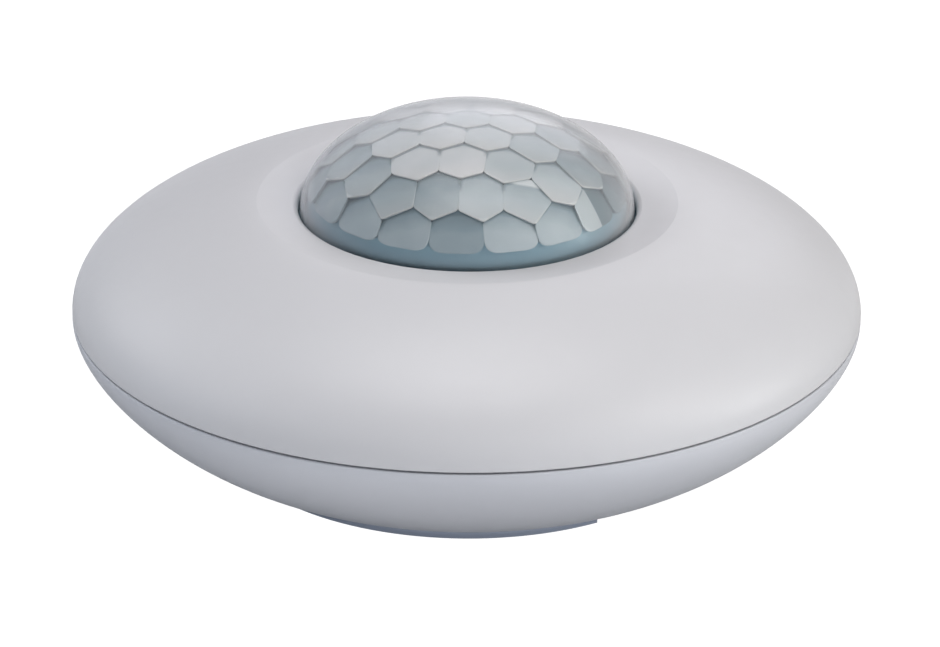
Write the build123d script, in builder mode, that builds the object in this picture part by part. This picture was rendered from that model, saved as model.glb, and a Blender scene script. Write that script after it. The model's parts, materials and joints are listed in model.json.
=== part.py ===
"""Surface-mounted 360 degree motion sensor, in millimetres.

A saucer-shaped housing stands on a round mounting plate. The origin is the centre of the plate's
flat back, and +Z points from the ceiling into the room, through the lens. Each sub-part is one
closed piece, or a group of identical pieces, and is written to parts/ as its own STEP file.
"""

import math
import os

from build123d import *

# ---------------------------------------------------------------- driving dimensions
BODY_R = 60.0  # widest radius of the housing, at the parting line
SEAM_Z = 21.64  # height of the parting line
SEAM_GAP = 0.27  # gap between the two shells at the parting line
EDGE_ROUND = 0.25  # small round on the parting line's edges

BEZEL_R = 31.87  # outer edge of the shallow dish round the lens
BEZEL_Z = 38.95
OPENING_R = 25.62  # hole for the lens
OPENING_Z = 38.43
OPENING_ROUND = 0.9
COVER_SEAT_Z = 36.5  # flat underside of the cover round the opening

LENS_R = 25.32  # half an ellipsoid above a short cylinder
LENS_BASE_Z = 37.5
LENS_RISE = 15.2
LENS_WALL = 1.2

FOOT_R = 36.85  # mounting plate's rim
FOOT_T = 1.35
FOOT_GAP = 0.12  # running gap under the rear shell

FLOOR_Z = 6.2  # inside floor of the rear shell
FLOOR_T = 2.0
BOARD_Z = 12.0  # underside of the main board
BOARD_T = 1.6
BOARD_R = 45.0
BOARD_TOP = BOARD_Z + BOARD_T
SENSOR_BOARD_Z = 30.0
SENSOR_BOARD_T = 1.2
SENSOR_BOARD_R = 22.0
SENSOR_TOP = SENSOR_BOARD_Z + SENSOR_BOARD_T

BOTTOM = (Align.CENTER, Align.CENTER, Align.MIN)  # solids that stand on their plane
ROUND = 4 / 3 * (math.sqrt(2) - 1)  # handle length that makes a cubic curve a quarter ellipse

os.makedirs("parts", exist_ok=True)


def write(piece, name):
    """Label a finished piece and write it to its own STEP file."""
    piece.label = name
    export_step(piece, f"parts/{name}.step")


def polar(radius, angle):
    """Point at a radius and an angle in degrees from +X."""
    turn = math.radians(angle)
    return (radius * math.cos(turn), radius * math.sin(turn))


def sector(inner, outer, start, end):
    """Outline of a flat ring sector from one angle to another, in degrees."""
    middle = (start + end) / 2
    with BuildLine() as edge:
        RadiusArc(polar(outer, start), polar(outer, middle), -outer)
        RadiusArc(polar(outer, middle), polar(outer, end), -outer)
        Line(polar(outer, end), polar(inner, end))
        RadiusArc(polar(inner, end), polar(inner, middle), inner)
        RadiusArc(polar(inner, middle), polar(inner, start), inner)
        Line(polar(inner, start), polar(outer, start))
    return edge


def radial_plane(angle, shift=0.0):
    """Upright plane through the Z axis, moved sideways by shift: x runs outward, y runs up."""
    turn = math.radians(angle)
    side = Vector(math.sin(turn), -math.cos(turn), 0)
    return Plane(origin=side * shift, x_dir=(math.cos(turn), math.sin(turn), 0), z_dir=side)


def dome(radius, rise):
    """Control points of a quarter ellipse on the lens's base, from its rim up to the axis."""
    top = LENS_BASE_Z + rise
    return [(radius, LENS_BASE_Z), (radius, LENS_BASE_Z + ROUND * rise), (ROUND * radius, top), (0, top)]


# ---------------------------------------------------------------- housing outlines
# Control points (radius, height) of the outer curves, and of the inner ones a wall further in.
COVER_CURVE = [
    (BEZEL_R, BEZEL_Z),
    (BEZEL_R + 5.04, BEZEL_Z - 0.11),
    (BODY_R, SEAM_Z + 10.66),
    (BODY_R, SEAM_Z + 0.4),
]
COVER_INSIDE = [(33.0, COVER_SEAT_Z), (40.0, 35.9), (55.5, 29.9), (57.4, 23.5)]
REAR_CURVE = [
    (BODY_R, SEAM_Z - 0.4),
    (BODY_R, SEAM_Z - 5.12),
    (FOOT_R + 12.77, FOOT_T + FOOT_GAP + 4.15),
    (FOOT_R, FOOT_T + FOOT_GAP),
]
TROUGH_Z = 4.0  # lowest point of the ring-shaped hollow round the floor
REAR_INSIDE = [(56.5, 18.4), (55.0, 14.9), (48.2, 8.6), (36.9, TROUGH_Z)]
REAR_RIM_R = REAR_INSIDE[0][0]

# ---------------------------------------------------------------- mounting plate
PLATE_BOSS_R = 34.2  # raised middle, which sits in the rear shell's recess
PLATE_BOSS_T = 4.0
PLATE_BOSS_ROUND = 0.4
PLATE_HOLE_R = 10.0
SLOT_PITCH = 60.0  # screw slots, as on a flush box
SLOT_LENGTH = 7.0
SLOT_WIDTH = 4.2
HEAD_WIDTH = 8.4  # pocket for a pan head over each slot
HEAD_DEPTH = 2.0
NOTCH_CENTRE = -45.0  # two notches in the rim, opposite each other
NOTCH_SPAN = 25.4
POCKET_DEPTH = 2.2  # coring pockets in the back
POCKET_COUNT = 6
POCKET_IN, POCKET_OUT = 12.5, 23.0
POCKET_RIB = 8.0  # angle of the rib between two pockets
HOOK_ANGLES = (30.0, 150.0, 270.0)
HOOK_IN, HOOK_OUT, LIP_OUT = 27.5, 30.0, 32.5
HOOK_HALF, LIP_HALF = 4.0, 5.0  # half the angle of the stem and of the lip
LIP_Z = FLOOR_Z + 0.15
LIP_T = 1.45
TWIST = 20.0  # turn that frees the housing from the plate

with BuildPart() as mounting_plate:
    Cylinder(FOOT_R, FOOT_T, align=BOTTOM)
    Cylinder(PLATE_BOSS_R, PLATE_BOSS_T, align=BOTTOM)
    fillet(mounting_plate.edges().group_by(Axis.Z)[-1], PLATE_BOSS_ROUND)
    Cylinder(PLATE_HOLE_R, PLATE_BOSS_T, align=BOTTOM, mode=Mode.SUBTRACT)
    with BuildSketch(Plane.XY):  # screw slots
        with Locations((-SLOT_PITCH / 2, 0), (SLOT_PITCH / 2, 0)):
            SlotOverall(SLOT_LENGTH, SLOT_WIDTH)
    extrude(amount=PLATE_BOSS_T, mode=Mode.SUBTRACT)
    with BuildSketch(Plane.XY.offset(PLATE_BOSS_T - HEAD_DEPTH)):  # screw head pockets
        with Locations((-SLOT_PITCH / 2, 0), (SLOT_PITCH / 2, 0)):
            SlotOverall(SLOT_LENGTH + HEAD_WIDTH - SLOT_WIDTH, HEAD_WIDTH)
    extrude(amount=HEAD_DEPTH, mode=Mode.SUBTRACT)
    with BuildSketch(Plane.XY):  # rim notches
        for turn in (0, 180):
            start = NOTCH_CENTRE + turn - NOTCH_SPAN / 2
            add(sector(PLATE_BOSS_R, FOOT_R + 1, start, start + NOTCH_SPAN))
            make_face()
    extrude(amount=FOOT_T, mode=Mode.SUBTRACT)
    with BuildSketch(Plane.XY):  # coring pockets
        for k in range(POCKET_COUNT):
            start = (k * 360 + POCKET_RIB * POCKET_COUNT / 2) / POCKET_COUNT
            add(sector(POCKET_IN, POCKET_OUT, start, start + 360 / POCKET_COUNT - POCKET_RIB))
            make_face()
    extrude(amount=POCKET_DEPTH, mode=Mode.SUBTRACT)
    with BuildSketch(Plane.XY.offset(PLATE_BOSS_T)):  # bayonet hook stems
        for angle in HOOK_ANGLES:
            add(sector(HOOK_IN, HOOK_OUT, angle - HOOK_HALF, angle + HOOK_HALF))
            make_face()
    extrude(amount=LIP_Z - PLATE_BOSS_T)
    with BuildSketch(Plane.XY.offset(LIP_Z)):  # bayonet hook lips
        for angle in HOOK_ANGLES:
            add(sector(HOOK_IN, LIP_OUT, angle - LIP_HALF, angle + LIP_HALF))
            make_face()
    extrude(amount=LIP_T)
write(mounting_plate.part, "mounting_plate")

# ---------------------------------------------------------------- rear shell
RECESS_R = 34.5  # recess that turns on the plate's raised middle
SEAL_HOLE_R = 7.0
BOARD_POST_ANGLES = (90.0, 210.0, 330.0)
BOARD_POST_AT = 39.0
BOARD_POST_R = 2.8
BOARD_SCREW_R = 1.2
BOARD_SCREW_DEPTH = 6.5
SLOT_PLAY = 0.3  # room beside a hook in its slot, and the angle of play at the slot's ends
LIP_PLAY = 0.6
CLIP_ANGLES = (45.0, 165.0, 285.0)
CLIP_POST_IN, CLIP_POST_OUT = 46.3, 50.4
CLIP_POST_HALF = 4.5  # half its width
CLIP_POST_TOP = 14.0
RIVET_AT = 48.2
RIVET_R = 0.9
RIVET_HOLE = 3.0

with BuildPart() as rear_hollow:  # the room inside, without the posts that stand in it
    with BuildSketch(Plane.XZ):
        with BuildLine():
            Polyline((0, FLOOR_Z), (0, SEAM_Z + 2), (REAR_RIM_R, SEAM_Z + 2), REAR_INSIDE[0])
            Bezier(*REAR_INSIDE)
            Polyline(REAR_INSIDE[-1], (REAR_INSIDE[-1][0], FLOOR_Z), (0, FLOOR_Z))
        make_face()
    revolve(axis=Axis.Z)
    for angle in BOARD_POST_ANGLES:
        with Locations(polar(BOARD_POST_AT, angle)):
            Cylinder(BOARD_POST_R, BOARD_Z, align=BOTTOM, mode=Mode.SUBTRACT)
    for angle in CLIP_ANGLES:
        with BuildSketch(radial_plane(angle, -CLIP_POST_HALF)):
            with Locations(((CLIP_POST_IN + CLIP_POST_OUT) / 2, CLIP_POST_TOP / 2)):
                Rectangle(CLIP_POST_OUT - CLIP_POST_IN, CLIP_POST_TOP)
        extrude(amount=2 * CLIP_POST_HALF, mode=Mode.SUBTRACT)

with BuildPart() as rear_shell:
    with BuildSketch(Plane.XZ):
        with BuildLine():
            Polyline(
                REAR_CURVE[-1],
                (RECESS_R, FOOT_T + FOOT_GAP),
                (RECESS_R, FLOOR_Z - FLOOR_T),
                (0, FLOOR_Z - FLOOR_T),
                (0, SEAM_Z - SEAM_GAP / 2),
                (BODY_R, SEAM_Z - SEAM_GAP / 2),
                REAR_CURVE[0],
            )
            Bezier(*REAR_CURVE)
        make_face()
    revolve(axis=Axis.Z)
    fillet(rear_shell.edges().group_by(Axis.Z)[-1], EDGE_ROUND)
    add(rear_hollow.part, mode=Mode.SUBTRACT)
    with Locations((0, 0, FLOOR_Z - FLOOR_T)):
        Cylinder(SEAL_HOLE_R, FLOOR_T, align=BOTTOM, mode=Mode.SUBTRACT)
    with BuildSketch(Plane.XY.offset(FLOOR_Z - FLOOR_T)):  # bayonet slots: a narrow arc and a wide end
        for angle in HOOK_ANGLES:
            inner, outer = HOOK_IN - SLOT_PLAY, HOOK_OUT + SLOT_PLAY
            add(sector(inner, outer, angle - TWIST - 1, angle + HOOK_HALF + LIP_PLAY))
            make_face()
            wide = (angle - TWIST - LIP_HALF - LIP_PLAY, angle - TWIST + LIP_HALF + LIP_PLAY)
            add(sector(inner, LIP_OUT + SLOT_PLAY, *wide))
            make_face()
    extrude(amount=FLOOR_T, mode=Mode.SUBTRACT)
    for angle in BOARD_POST_ANGLES:
        with Locations((*polar(BOARD_POST_AT, angle), BOARD_Z - BOARD_SCREW_DEPTH)):
            Cylinder(BOARD_SCREW_R, BOARD_SCREW_DEPTH, align=BOTTOM, mode=Mode.SUBTRACT)
    for angle in CLIP_ANGLES:
        with Locations((*polar(RIVET_AT, angle), CLIP_POST_TOP - RIVET_HOLE)):
            Cylinder(RIVET_R, RIVET_HOLE, align=BOTTOM, mode=Mode.SUBTRACT)
write(rear_shell.part, "rear_shell")

# ---------------------------------------------------------------- cable seal
CABLE_R = 2.5
SEAL_FLANGE_R = 8.6
SEAL_LOW_Z = 2.9  # underside of the lower flange
SEAL_FLANGE_T = 1.2
SEAL_COLLAR = 3.2  # height of the collar round the cable
SEAL_COLLAR_T = 1.2
with BuildPart() as cable_seal:
    with BuildSketch(Plane.XZ):
        with BuildLine():
            Polyline(
                (CABLE_R, SEAL_LOW_Z),
                (SEAL_FLANGE_R - 0.6, SEAL_LOW_Z),
                (SEAL_FLANGE_R, FLOOR_Z - FLOOR_T),
                (SEAL_HOLE_R, FLOOR_Z - FLOOR_T),
                (SEAL_HOLE_R, FLOOR_Z),
                (SEAL_FLANGE_R, FLOOR_Z),
                (SEAL_FLANGE_R - 0.8, FLOOR_Z + SEAL_FLANGE_T),
                (CABLE_R + SEAL_COLLAR_T + 0.6, FLOOR_Z + SEAL_FLANGE_T + 0.2),
                (CABLE_R + SEAL_COLLAR_T, FLOOR_Z + SEAL_COLLAR),
                (CABLE_R, FLOOR_Z + SEAL_COLLAR),
                close=True,
            )
        make_face()
    revolve(axis=Axis.Z)
write(cable_seal.part, "cable_seal")

# ---------------------------------------------------------------- places on the main board
CABLE_HOLE_R = 7.0
TERMINAL_COUNT = 6
TERMINAL_PITCH = 5.0
TERMINAL_Y = -34.0
TERMINALS = [((k - (TERMINAL_COUNT - 1) / 2) * TERMINAL_PITCH, TERMINAL_Y) for k in range(TERMINAL_COUNT)]
PIN_Y = TERMINAL_Y - 2.85
RELAY_AT = (-15.0, 31.5)
TRIMMERS = {"range": (36.0, 7.0), "pulse": (36.0, -4.0)}
SWITCH_AT = (-34.5, 3.0)
TAMPER_AT = (-24.0, -31.0)
BIG_CAP_AT = (23.5, 24.5)
SMALL_CAP_AT = (31.5, 17.0)
CHIP_AT = (-24.0, 18.0)
SPACER_ANGLES = (45.0, 135.0, 225.0, 315.0)
SPACER_AT = 18.0
STUD_R = 1.2  # each spacer's stud, through the main board
CONTACT_PIN = (0.9, 0.7)
LINK_PIN = 0.6  # square pin's side
LINK_HOLE_R = 0.5
LINK_Y = 12.0
LINK_PITCH = 2.54
LINK_COUNT = 6
LINK_PINS = [((k - (LINK_COUNT - 1) / 2) * LINK_PITCH, LINK_Y) for k in range(LINK_COUNT)]

with BuildPart() as main_board:
    with BuildSketch(Plane.XY.offset(BOARD_Z)):
        Circle(BOARD_R)
        Circle(CABLE_HOLE_R, mode=Mode.SUBTRACT)
        with Locations(*[polar(BOARD_POST_AT, angle) for angle in BOARD_POST_ANGLES]):
            Circle(BOARD_SCREW_R + 0.2, mode=Mode.SUBTRACT)
        with Locations(*[polar(SPACER_AT, angle) for angle in SPACER_ANGLES]):
            Circle(STUD_R + 0.1, mode=Mode.SUBTRACT)
        with Locations(*LINK_PINS):
            Circle(LINK_HOLE_R, mode=Mode.SUBTRACT)
        with Locations(*[(x, PIN_Y) for x, y in TERMINALS]):
            Rectangle(CONTACT_PIN[0] + 0.3, CONTACT_PIN[1] + 0.3, mode=Mode.SUBTRACT)
    extrude(amount=BOARD_T)
write(main_board.part, "main_board")

# ---------------------------------------------------------------- screws that hold the main board
BOARD_SCREW_HEAD = (2.5, 1.6)  # radius and height
BOARD_SCREW_LENGTH = 7.0
BOARD_SCREW_CROSS = (3.0, 0.6)  # length and width of the cross recess
with BuildPart() as board_screws:
    for angle in BOARD_POST_ANGLES:
        x, y = polar(BOARD_POST_AT, angle)
        with Locations((x, y, BOARD_TOP)):
            Cylinder(*BOARD_SCREW_HEAD, align=BOTTOM)
        with Locations((x, y, BOARD_TOP - BOARD_SCREW_LENGTH)):
            Cylinder(BOARD_SCREW_R - 0.1, BOARD_SCREW_LENGTH + 0.2, align=BOTTOM)
        with Locations((x, y, BOARD_TOP + BOARD_SCREW_HEAD[1] / 2)):
            Box(*BOARD_SCREW_CROSS, 1, align=BOTTOM, mode=Mode.SUBTRACT)
            Box(*reversed(BOARD_SCREW_CROSS), 1, align=BOTTOM, mode=Mode.SUBTRACT)
write(board_screws.part, "board_screws")

# ---------------------------------------------------------------- terminal block
# Each way has a screw that stays at one height, a cage that rises on its thread, and a fixed
# contact bar. The wire is nipped between the cage's bottom and the bar.
BLOCK_TOP = BOARD_TOP + 9.4
BLOCK_DEPTH = 8.4
CAGE_BOTTOM = BOARD_TOP + 0.8
CAGE_TOP = CAGE_BOTTOM + 4.2
CAGE_RISE = 1.4
CAVITY_TOP = CAGE_TOP + CAGE_RISE + 0.2
BAR_Z = CAGE_BOTTOM + 2.1
BAR_T = 0.5
CONTACT_TAIL = 1.4  # length of a contact's pin below the main board
HEAD_Z = CAVITY_TOP + 0.1
THREAD_R = 1.0
HEAD_R = 1.85
HEAD_T = 1.7
HEAD_BORE_R = 2.0
CAGE = (3.2, 3.8)
CAGE_BAND = 0.5  # thickness of the cage's band
CAVITY = (3.6, 4.4)
WIRE_WAY = (2.8, 3.2)  # width and height of the wire's way in

with BuildPart() as terminal_block:
    with Locations((0, TERMINAL_Y, BOARD_TOP)):
        Box(TERMINAL_COUNT * TERMINAL_PITCH + 0.8, BLOCK_DEPTH, BLOCK_TOP - BOARD_TOP, align=BOTTOM)
    chamfer(terminal_block.edges().group_by(Axis.Z)[-1], 0.6)
    for x, y in TERMINALS:
        with Locations((x, y, CAGE_BOTTOM - 0.2)):
            Box(*CAVITY, CAVITY_TOP - CAGE_BOTTOM + 0.2, align=BOTTOM, mode=Mode.SUBTRACT)
        with Locations((x, y, CAVITY_TOP)):
            Cylinder(HEAD_BORE_R, BLOCK_TOP - CAVITY_TOP, align=BOTTOM, mode=Mode.SUBTRACT)
        with Locations((x, y + 3.2, CAGE_BOTTOM + 0.2)):
            Box(WIRE_WAY[0], 2.2, WIRE_WAY[1], align=BOTTOM, mode=Mode.SUBTRACT)
        with Locations((x, y - 1.8, BOARD_TOP)):
            Box(2.2, 3.3, BAR_Z + BAR_T - BOARD_TOP + 0.1, align=BOTTOM, mode=Mode.SUBTRACT)
write(terminal_block.part, "terminal_block")

with BuildPart() as terminal_contacts:
    for x, y in TERMINALS:
        with Locations((x, y - 0.9, BAR_Z)):
            Box(1.8, 4.6, BAR_T, align=BOTTOM)
        with Locations((x, PIN_Y, BOARD_Z - CONTACT_TAIL)):
            Box(*CONTACT_PIN, BAR_Z - BOARD_Z + CONTACT_TAIL, align=BOTTOM)
write(terminal_contacts.part, "terminal_contacts")

for k, (x, y) in enumerate(TERMINALS, start=1):
    with BuildPart() as terminal_screw:
        with Locations((x, y, BAR_Z + BAR_T + 0.1)):
            Cylinder(THREAD_R, HEAD_Z - BAR_Z - BAR_T, align=BOTTOM)
        with Locations((x, y, HEAD_Z)):
            Cylinder(HEAD_R, HEAD_T, align=BOTTOM)
        with Locations((x, y, HEAD_Z + 0.8)):
            Box(4, 0.6, 1, align=BOTTOM, mode=Mode.SUBTRACT)
    write(terminal_screw.part, f"terminal_screw_{k}")

    with BuildPart() as terminal_cage:
        with Locations((x, y, CAGE_BOTTOM)):
            Box(*CAGE, CAGE_TOP - CAGE_BOTTOM, align=BOTTOM)
        window = (CAGE[0] - 2 * CAGE_BAND, CAGE[1], CAGE_TOP - CAGE_BOTTOM - 2 * CAGE_BAND - 0.1)
        with Locations((x, y, CAGE_BOTTOM + CAGE_BAND)):
            Box(*window, align=BOTTOM, mode=Mode.SUBTRACT)
        with Locations((x, y, CAGE_TOP - 0.6)):
            Cylinder(THREAD_R + 0.05, 0.6, align=BOTTOM, mode=Mode.SUBTRACT)
    write(terminal_cage.part, f"terminal_cage_{k}")

# ---------------------------------------------------------------- relay
RELAY_SIZE = (15.6, 7.6, 10.2)
with BuildPart() as relay:
    with Locations((*RELAY_AT, BOARD_TOP)):
        Box(*RELAY_SIZE, align=BOTTOM)
    fillet(relay.edges().filter_by(Axis.Z), 0.5)
    chamfer(relay.edges().group_by(Axis.Z)[-1], 0.4)
write(relay.part, "relay")

# ---------------------------------------------------------------- trimmers with their dials
DIAL_R = 2.8
DIAL_Z = BOARD_TOP + 3.0
TRIMMER_TOP = BOARD_TOP + 4.8
TRIMMER_SIDE = 7.0
DIAL_T = 2.4
DIAL_CROSS = (4.0, 0.8)  # length and width of the driver slots
for name, (x, y) in TRIMMERS.items():
    with BuildPart() as trimmer:
        with Locations((x, y, BOARD_TOP)):
            Box(TRIMMER_SIDE, TRIMMER_SIDE, TRIMMER_TOP - BOARD_TOP, align=BOTTOM)
        fillet(trimmer.edges().filter_by(Axis.Z), 0.4)
        with Locations((x, y, DIAL_Z - 0.1)):
            Cylinder(DIAL_R + 0.1, 3, align=BOTTOM, mode=Mode.SUBTRACT)
    write(trimmer.part, f"{name}_trimmer")

    with BuildPart() as dial:
        with Locations((x, y, DIAL_Z)):
            Cylinder(DIAL_R, DIAL_T, align=BOTTOM)
        with Locations((x, y, DIAL_Z + DIAL_T - 1)):
            Box(*DIAL_CROSS, 2, align=BOTTOM, mode=Mode.SUBTRACT)
            Box(*reversed(DIAL_CROSS), 2, align=BOTTOM, mode=Mode.SUBTRACT)
        with Locations((x + 2.2, y, DIAL_Z + DIAL_T - 0.5)):  # pointer mark
            Box(0.8, 1.4, 2, align=BOTTOM, mode=Mode.SUBTRACT)
    write(dial.part, f"{name}_dial")

# ---------------------------------------------------------------- four-way selector switch
SLIDER_COUNT = 4
SLIDER_TRAVEL = 1.8
SWITCH_SIZE = (6.6, 11.4, 4.0)
SWITCH_TOP = BOARD_TOP + SWITCH_SIZE[2]
SWITCH_WINDOW = (3.6, 1.4)
SLIDER = (1.5, 1.2, 2.1)
SLIDERS = [SWITCH_AT[1] + (k - (SLIDER_COUNT - 1) / 2) * LINK_PITCH for k in range(SLIDER_COUNT)]
with BuildPart() as switch_block:
    with Locations((*SWITCH_AT, BOARD_TOP)):
        Box(*SWITCH_SIZE, align=BOTTOM)
    chamfer(switch_block.edges().group_by(Axis.Z)[-1], 0.3)
    for y in SLIDERS:
        with Locations((SWITCH_AT[0], y, SWITCH_TOP - 1.6)):
            Box(*SWITCH_WINDOW, 2, align=BOTTOM, mode=Mode.SUBTRACT)
write(switch_block.part, "switch_block")

for k, y in enumerate(SLIDERS, start=1):
    with BuildPart() as slider:
        with Locations((SWITCH_AT[0] - SLIDER_TRAVEL / 2, y, SWITCH_TOP - 1.5)):
            Box(*SLIDER, align=BOTTOM)
        chamfer(slider.edges().group_by(Axis.Z)[-1], 0.2)
    write(slider.part, f"switch_slider_{k}")

# ---------------------------------------------------------------- capacitors, chips and small parts
for name, place, radius, height in (
    ("large_capacitor", BIG_CAP_AT, 4.0, 11.5),
    ("small_capacitor", SMALL_CAP_AT, 3.1, 7.2),
):
    with BuildPart() as capacitor:
        with Locations((*place, BOARD_TOP)):
            Cylinder(radius, height, align=BOTTOM)
        fillet(capacitor.edges().filter_by(GeomType.CIRCLE), 0.4)
        with Locations((*place, BOARD_TOP + height - 0.3)):
            Cylinder(radius - 0.8, 1, align=BOTTOM, mode=Mode.SUBTRACT)
    write(capacitor.part, name)

CHIP_SIZE = (10.2, 6.0, 1.5)
LEG_PITCH, LEG_SPAN = 1.27, 7.6
LEG_SIZE = (0.42, 1.8, 0.4)
with BuildPart() as controller_chip:
    with Locations((*CHIP_AT, BOARD_TOP + 0.1)):
        Box(*CHIP_SIZE, align=BOTTOM)
    with Locations((*CHIP_AT, BOARD_TOP)):
        with GridLocations(LEG_PITCH, LEG_SPAN, 8, 2):
            Box(*LEG_SIZE, align=BOTTOM)
write(controller_chip.part, "controller_chip")

SMALL_PART = (2.0, 1.25, 0.7)
with BuildPart() as chip_components:
    with Locations((-21, -12, BOARD_TOP), (-8, 24, BOARD_TOP), (4, -19, BOARD_TOP)):
        with GridLocations(3.0, 3.4, 3, 2):
            Box(*SMALL_PART, align=BOTTOM)
    with Locations((24, -16, BOARD_TOP), (12, 22, BOARD_TOP)):
        with GridLocations(3.4, 3.0, 2, 3):
            Box(SMALL_PART[1], SMALL_PART[0], SMALL_PART[2], align=BOTTOM)
write(chip_components.part, "chip_components")

# ---------------------------------------------------------------- tamper switch
TAMPER_TOP = BOARD_TOP + 4.4
TAMPER_RISE = 1.2
PLUNGER_R = 1.2
PLUNGER_TOP = 22.0
FLANGE_Z = BOARD_TOP + 1.7
FLANGE_R = 1.9
TAMPER_SIDE = 6.4
TAMPER_FLOOR_T = 0.4
TAMPER_ROOM = 3.3  # height of the spring's room
with BuildPart() as tamper_switch:
    with Locations((*TAMPER_AT, BOARD_TOP)):
        Box(TAMPER_SIDE, TAMPER_SIDE, TAMPER_TOP - BOARD_TOP, align=BOTTOM)
    fillet(tamper_switch.edges().filter_by(Axis.Z), 0.4)
    with Locations((*TAMPER_AT, BOARD_TOP + TAMPER_FLOOR_T)):
        Cylinder(FLANGE_R + 0.1, TAMPER_ROOM, align=BOTTOM, mode=Mode.SUBTRACT)
        Cylinder(PLUNGER_R + 0.1, 6, align=BOTTOM, mode=Mode.SUBTRACT)
write(tamper_switch.part, "tamper_switch")

with BuildPart() as tamper_plunger:
    with Locations((*TAMPER_AT, FLANGE_Z)):
        Cylinder(FLANGE_R, 0.7, align=BOTTOM)
        Cylinder(PLUNGER_R, PLUNGER_TOP - FLANGE_Z, align=BOTTOM)
    fillet(tamper_plunger.edges().group_by(Axis.Z)[-1], 0.4)
write(tamper_plunger.part, "tamper_plunger")

SPRING_WIRE_R = 0.11
SPRING_R = 1.4
SPRING_PITCH = 0.3
spring_base = BOARD_TOP + TAMPER_FLOOR_T + SPRING_WIRE_R
with BuildPart() as tamper_spring:
    with BuildLine():
        coil = Helix(
            pitch=SPRING_PITCH,
            height=FLANGE_Z - spring_base - SPRING_WIRE_R,
            radius=SPRING_R,
            center=(*TAMPER_AT, spring_base),
        )
    with BuildSketch(Plane(origin=coil @ 0, z_dir=coil % 0)):
        Circle(SPRING_WIRE_R)
    sweep(is_frenet=True)
write(tamper_spring.part, "tamper_spring")

# ---------------------------------------------------------------- board-to-board link
HEADER_SIDE = 2.5
PIN_TAIL = 1.2  # length of the pins beyond each board
with BuildPart() as link_header:
    with Locations((0, LINK_Y, BOARD_TOP)):
        Box(LINK_COUNT * LINK_PITCH, HEADER_SIDE, HEADER_SIDE, align=BOTTOM)
    with Locations(*[(x, y, BOARD_TOP) for x, y in LINK_PINS]):
        Box(LINK_PIN + 0.1, LINK_PIN + 0.1, 3, align=BOTTOM, mode=Mode.SUBTRACT)
write(link_header.part, "link_header")

with BuildPart() as link_pins:
    with Locations(*[(x, y, BOARD_Z - PIN_TAIL) for x, y in LINK_PINS]):
        Box(LINK_PIN, LINK_PIN, SENSOR_TOP - BOARD_Z + 2 * PIN_TAIL, align=BOTTOM)
write(link_pins.part, "link_pins")

# ---------------------------------------------------------------- sensor board on its spacers
SPACER_HEX_R = 2.6
SPACER_BORE_R = 1.0
SPACER_BORE_DEPTH = 6.0
with BuildPart() as board_spacers:
    for angle in SPACER_ANGLES:
        x, y = polar(SPACER_AT, angle)
        with BuildSketch(Plane.XY.offset(BOARD_TOP)):
            with Locations((x, y)):
                RegularPolygon(SPACER_HEX_R, 6)
        extrude(amount=SENSOR_BOARD_Z - BOARD_TOP)
        with Locations((x, y, BOARD_Z - 0.8)):
            Cylinder(STUD_R, BOARD_T + 1.2, align=BOTTOM)
        with Locations((x, y, SENSOR_BOARD_Z - SPACER_BORE_DEPTH)):
            Cylinder(SPACER_BORE_R, SPACER_BORE_DEPTH, align=BOTTOM, mode=Mode.SUBTRACT)
write(board_spacers.part, "board_spacers")

SENSOR_LEAD_R = 2.54  # circle of the sensor's three leads
SENSOR_LEADS = [polar(SENSOR_LEAD_R, angle) for angle in (30, 150, 270)]
SENSOR_LEAD_T = 0.25  # radius of a lead
LED_AT = (-9.0, -9.0)
with BuildPart() as sensor_board:
    with BuildSketch(Plane.XY.offset(SENSOR_BOARD_Z)):
        Circle(SENSOR_BOARD_R)
        with Locations(*[polar(SPACER_AT, angle) for angle in SPACER_ANGLES]):
            Circle(SPACER_BORE_R + 0.1, mode=Mode.SUBTRACT)
        with Locations(*LINK_PINS):
            Circle(LINK_HOLE_R, mode=Mode.SUBTRACT)
        with Locations(*SENSOR_LEADS):
            Circle(SENSOR_LEAD_T + 0.1, mode=Mode.SUBTRACT)
    extrude(amount=SENSOR_BOARD_T)
write(sensor_board.part, "sensor_board")

SMALL_SCREW_HEAD = (1.8, 1.2)  # radius and height
SMALL_SCREW_CROSS = (2.2, 0.5)
with BuildPart() as spacer_screws:
    for angle in SPACER_ANGLES:
        x, y = polar(SPACER_AT, angle)
        with Locations((x, y, SENSOR_TOP)):
            Cylinder(*SMALL_SCREW_HEAD, align=BOTTOM)
        with Locations((x, y, SENSOR_TOP - 6)):
            Cylinder(SPACER_BORE_R - 0.05, 6.2, align=BOTTOM)
        with Locations((x, y, SENSOR_TOP + SMALL_SCREW_HEAD[1] / 2)):
            Box(*SMALL_SCREW_CROSS, 1, align=BOTTOM, mode=Mode.SUBTRACT)
            Box(*reversed(SMALL_SCREW_CROSS), 1, align=BOTTOM, mode=Mode.SUBTRACT)
write(spacer_screws.part, "spacer_screws")

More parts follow.
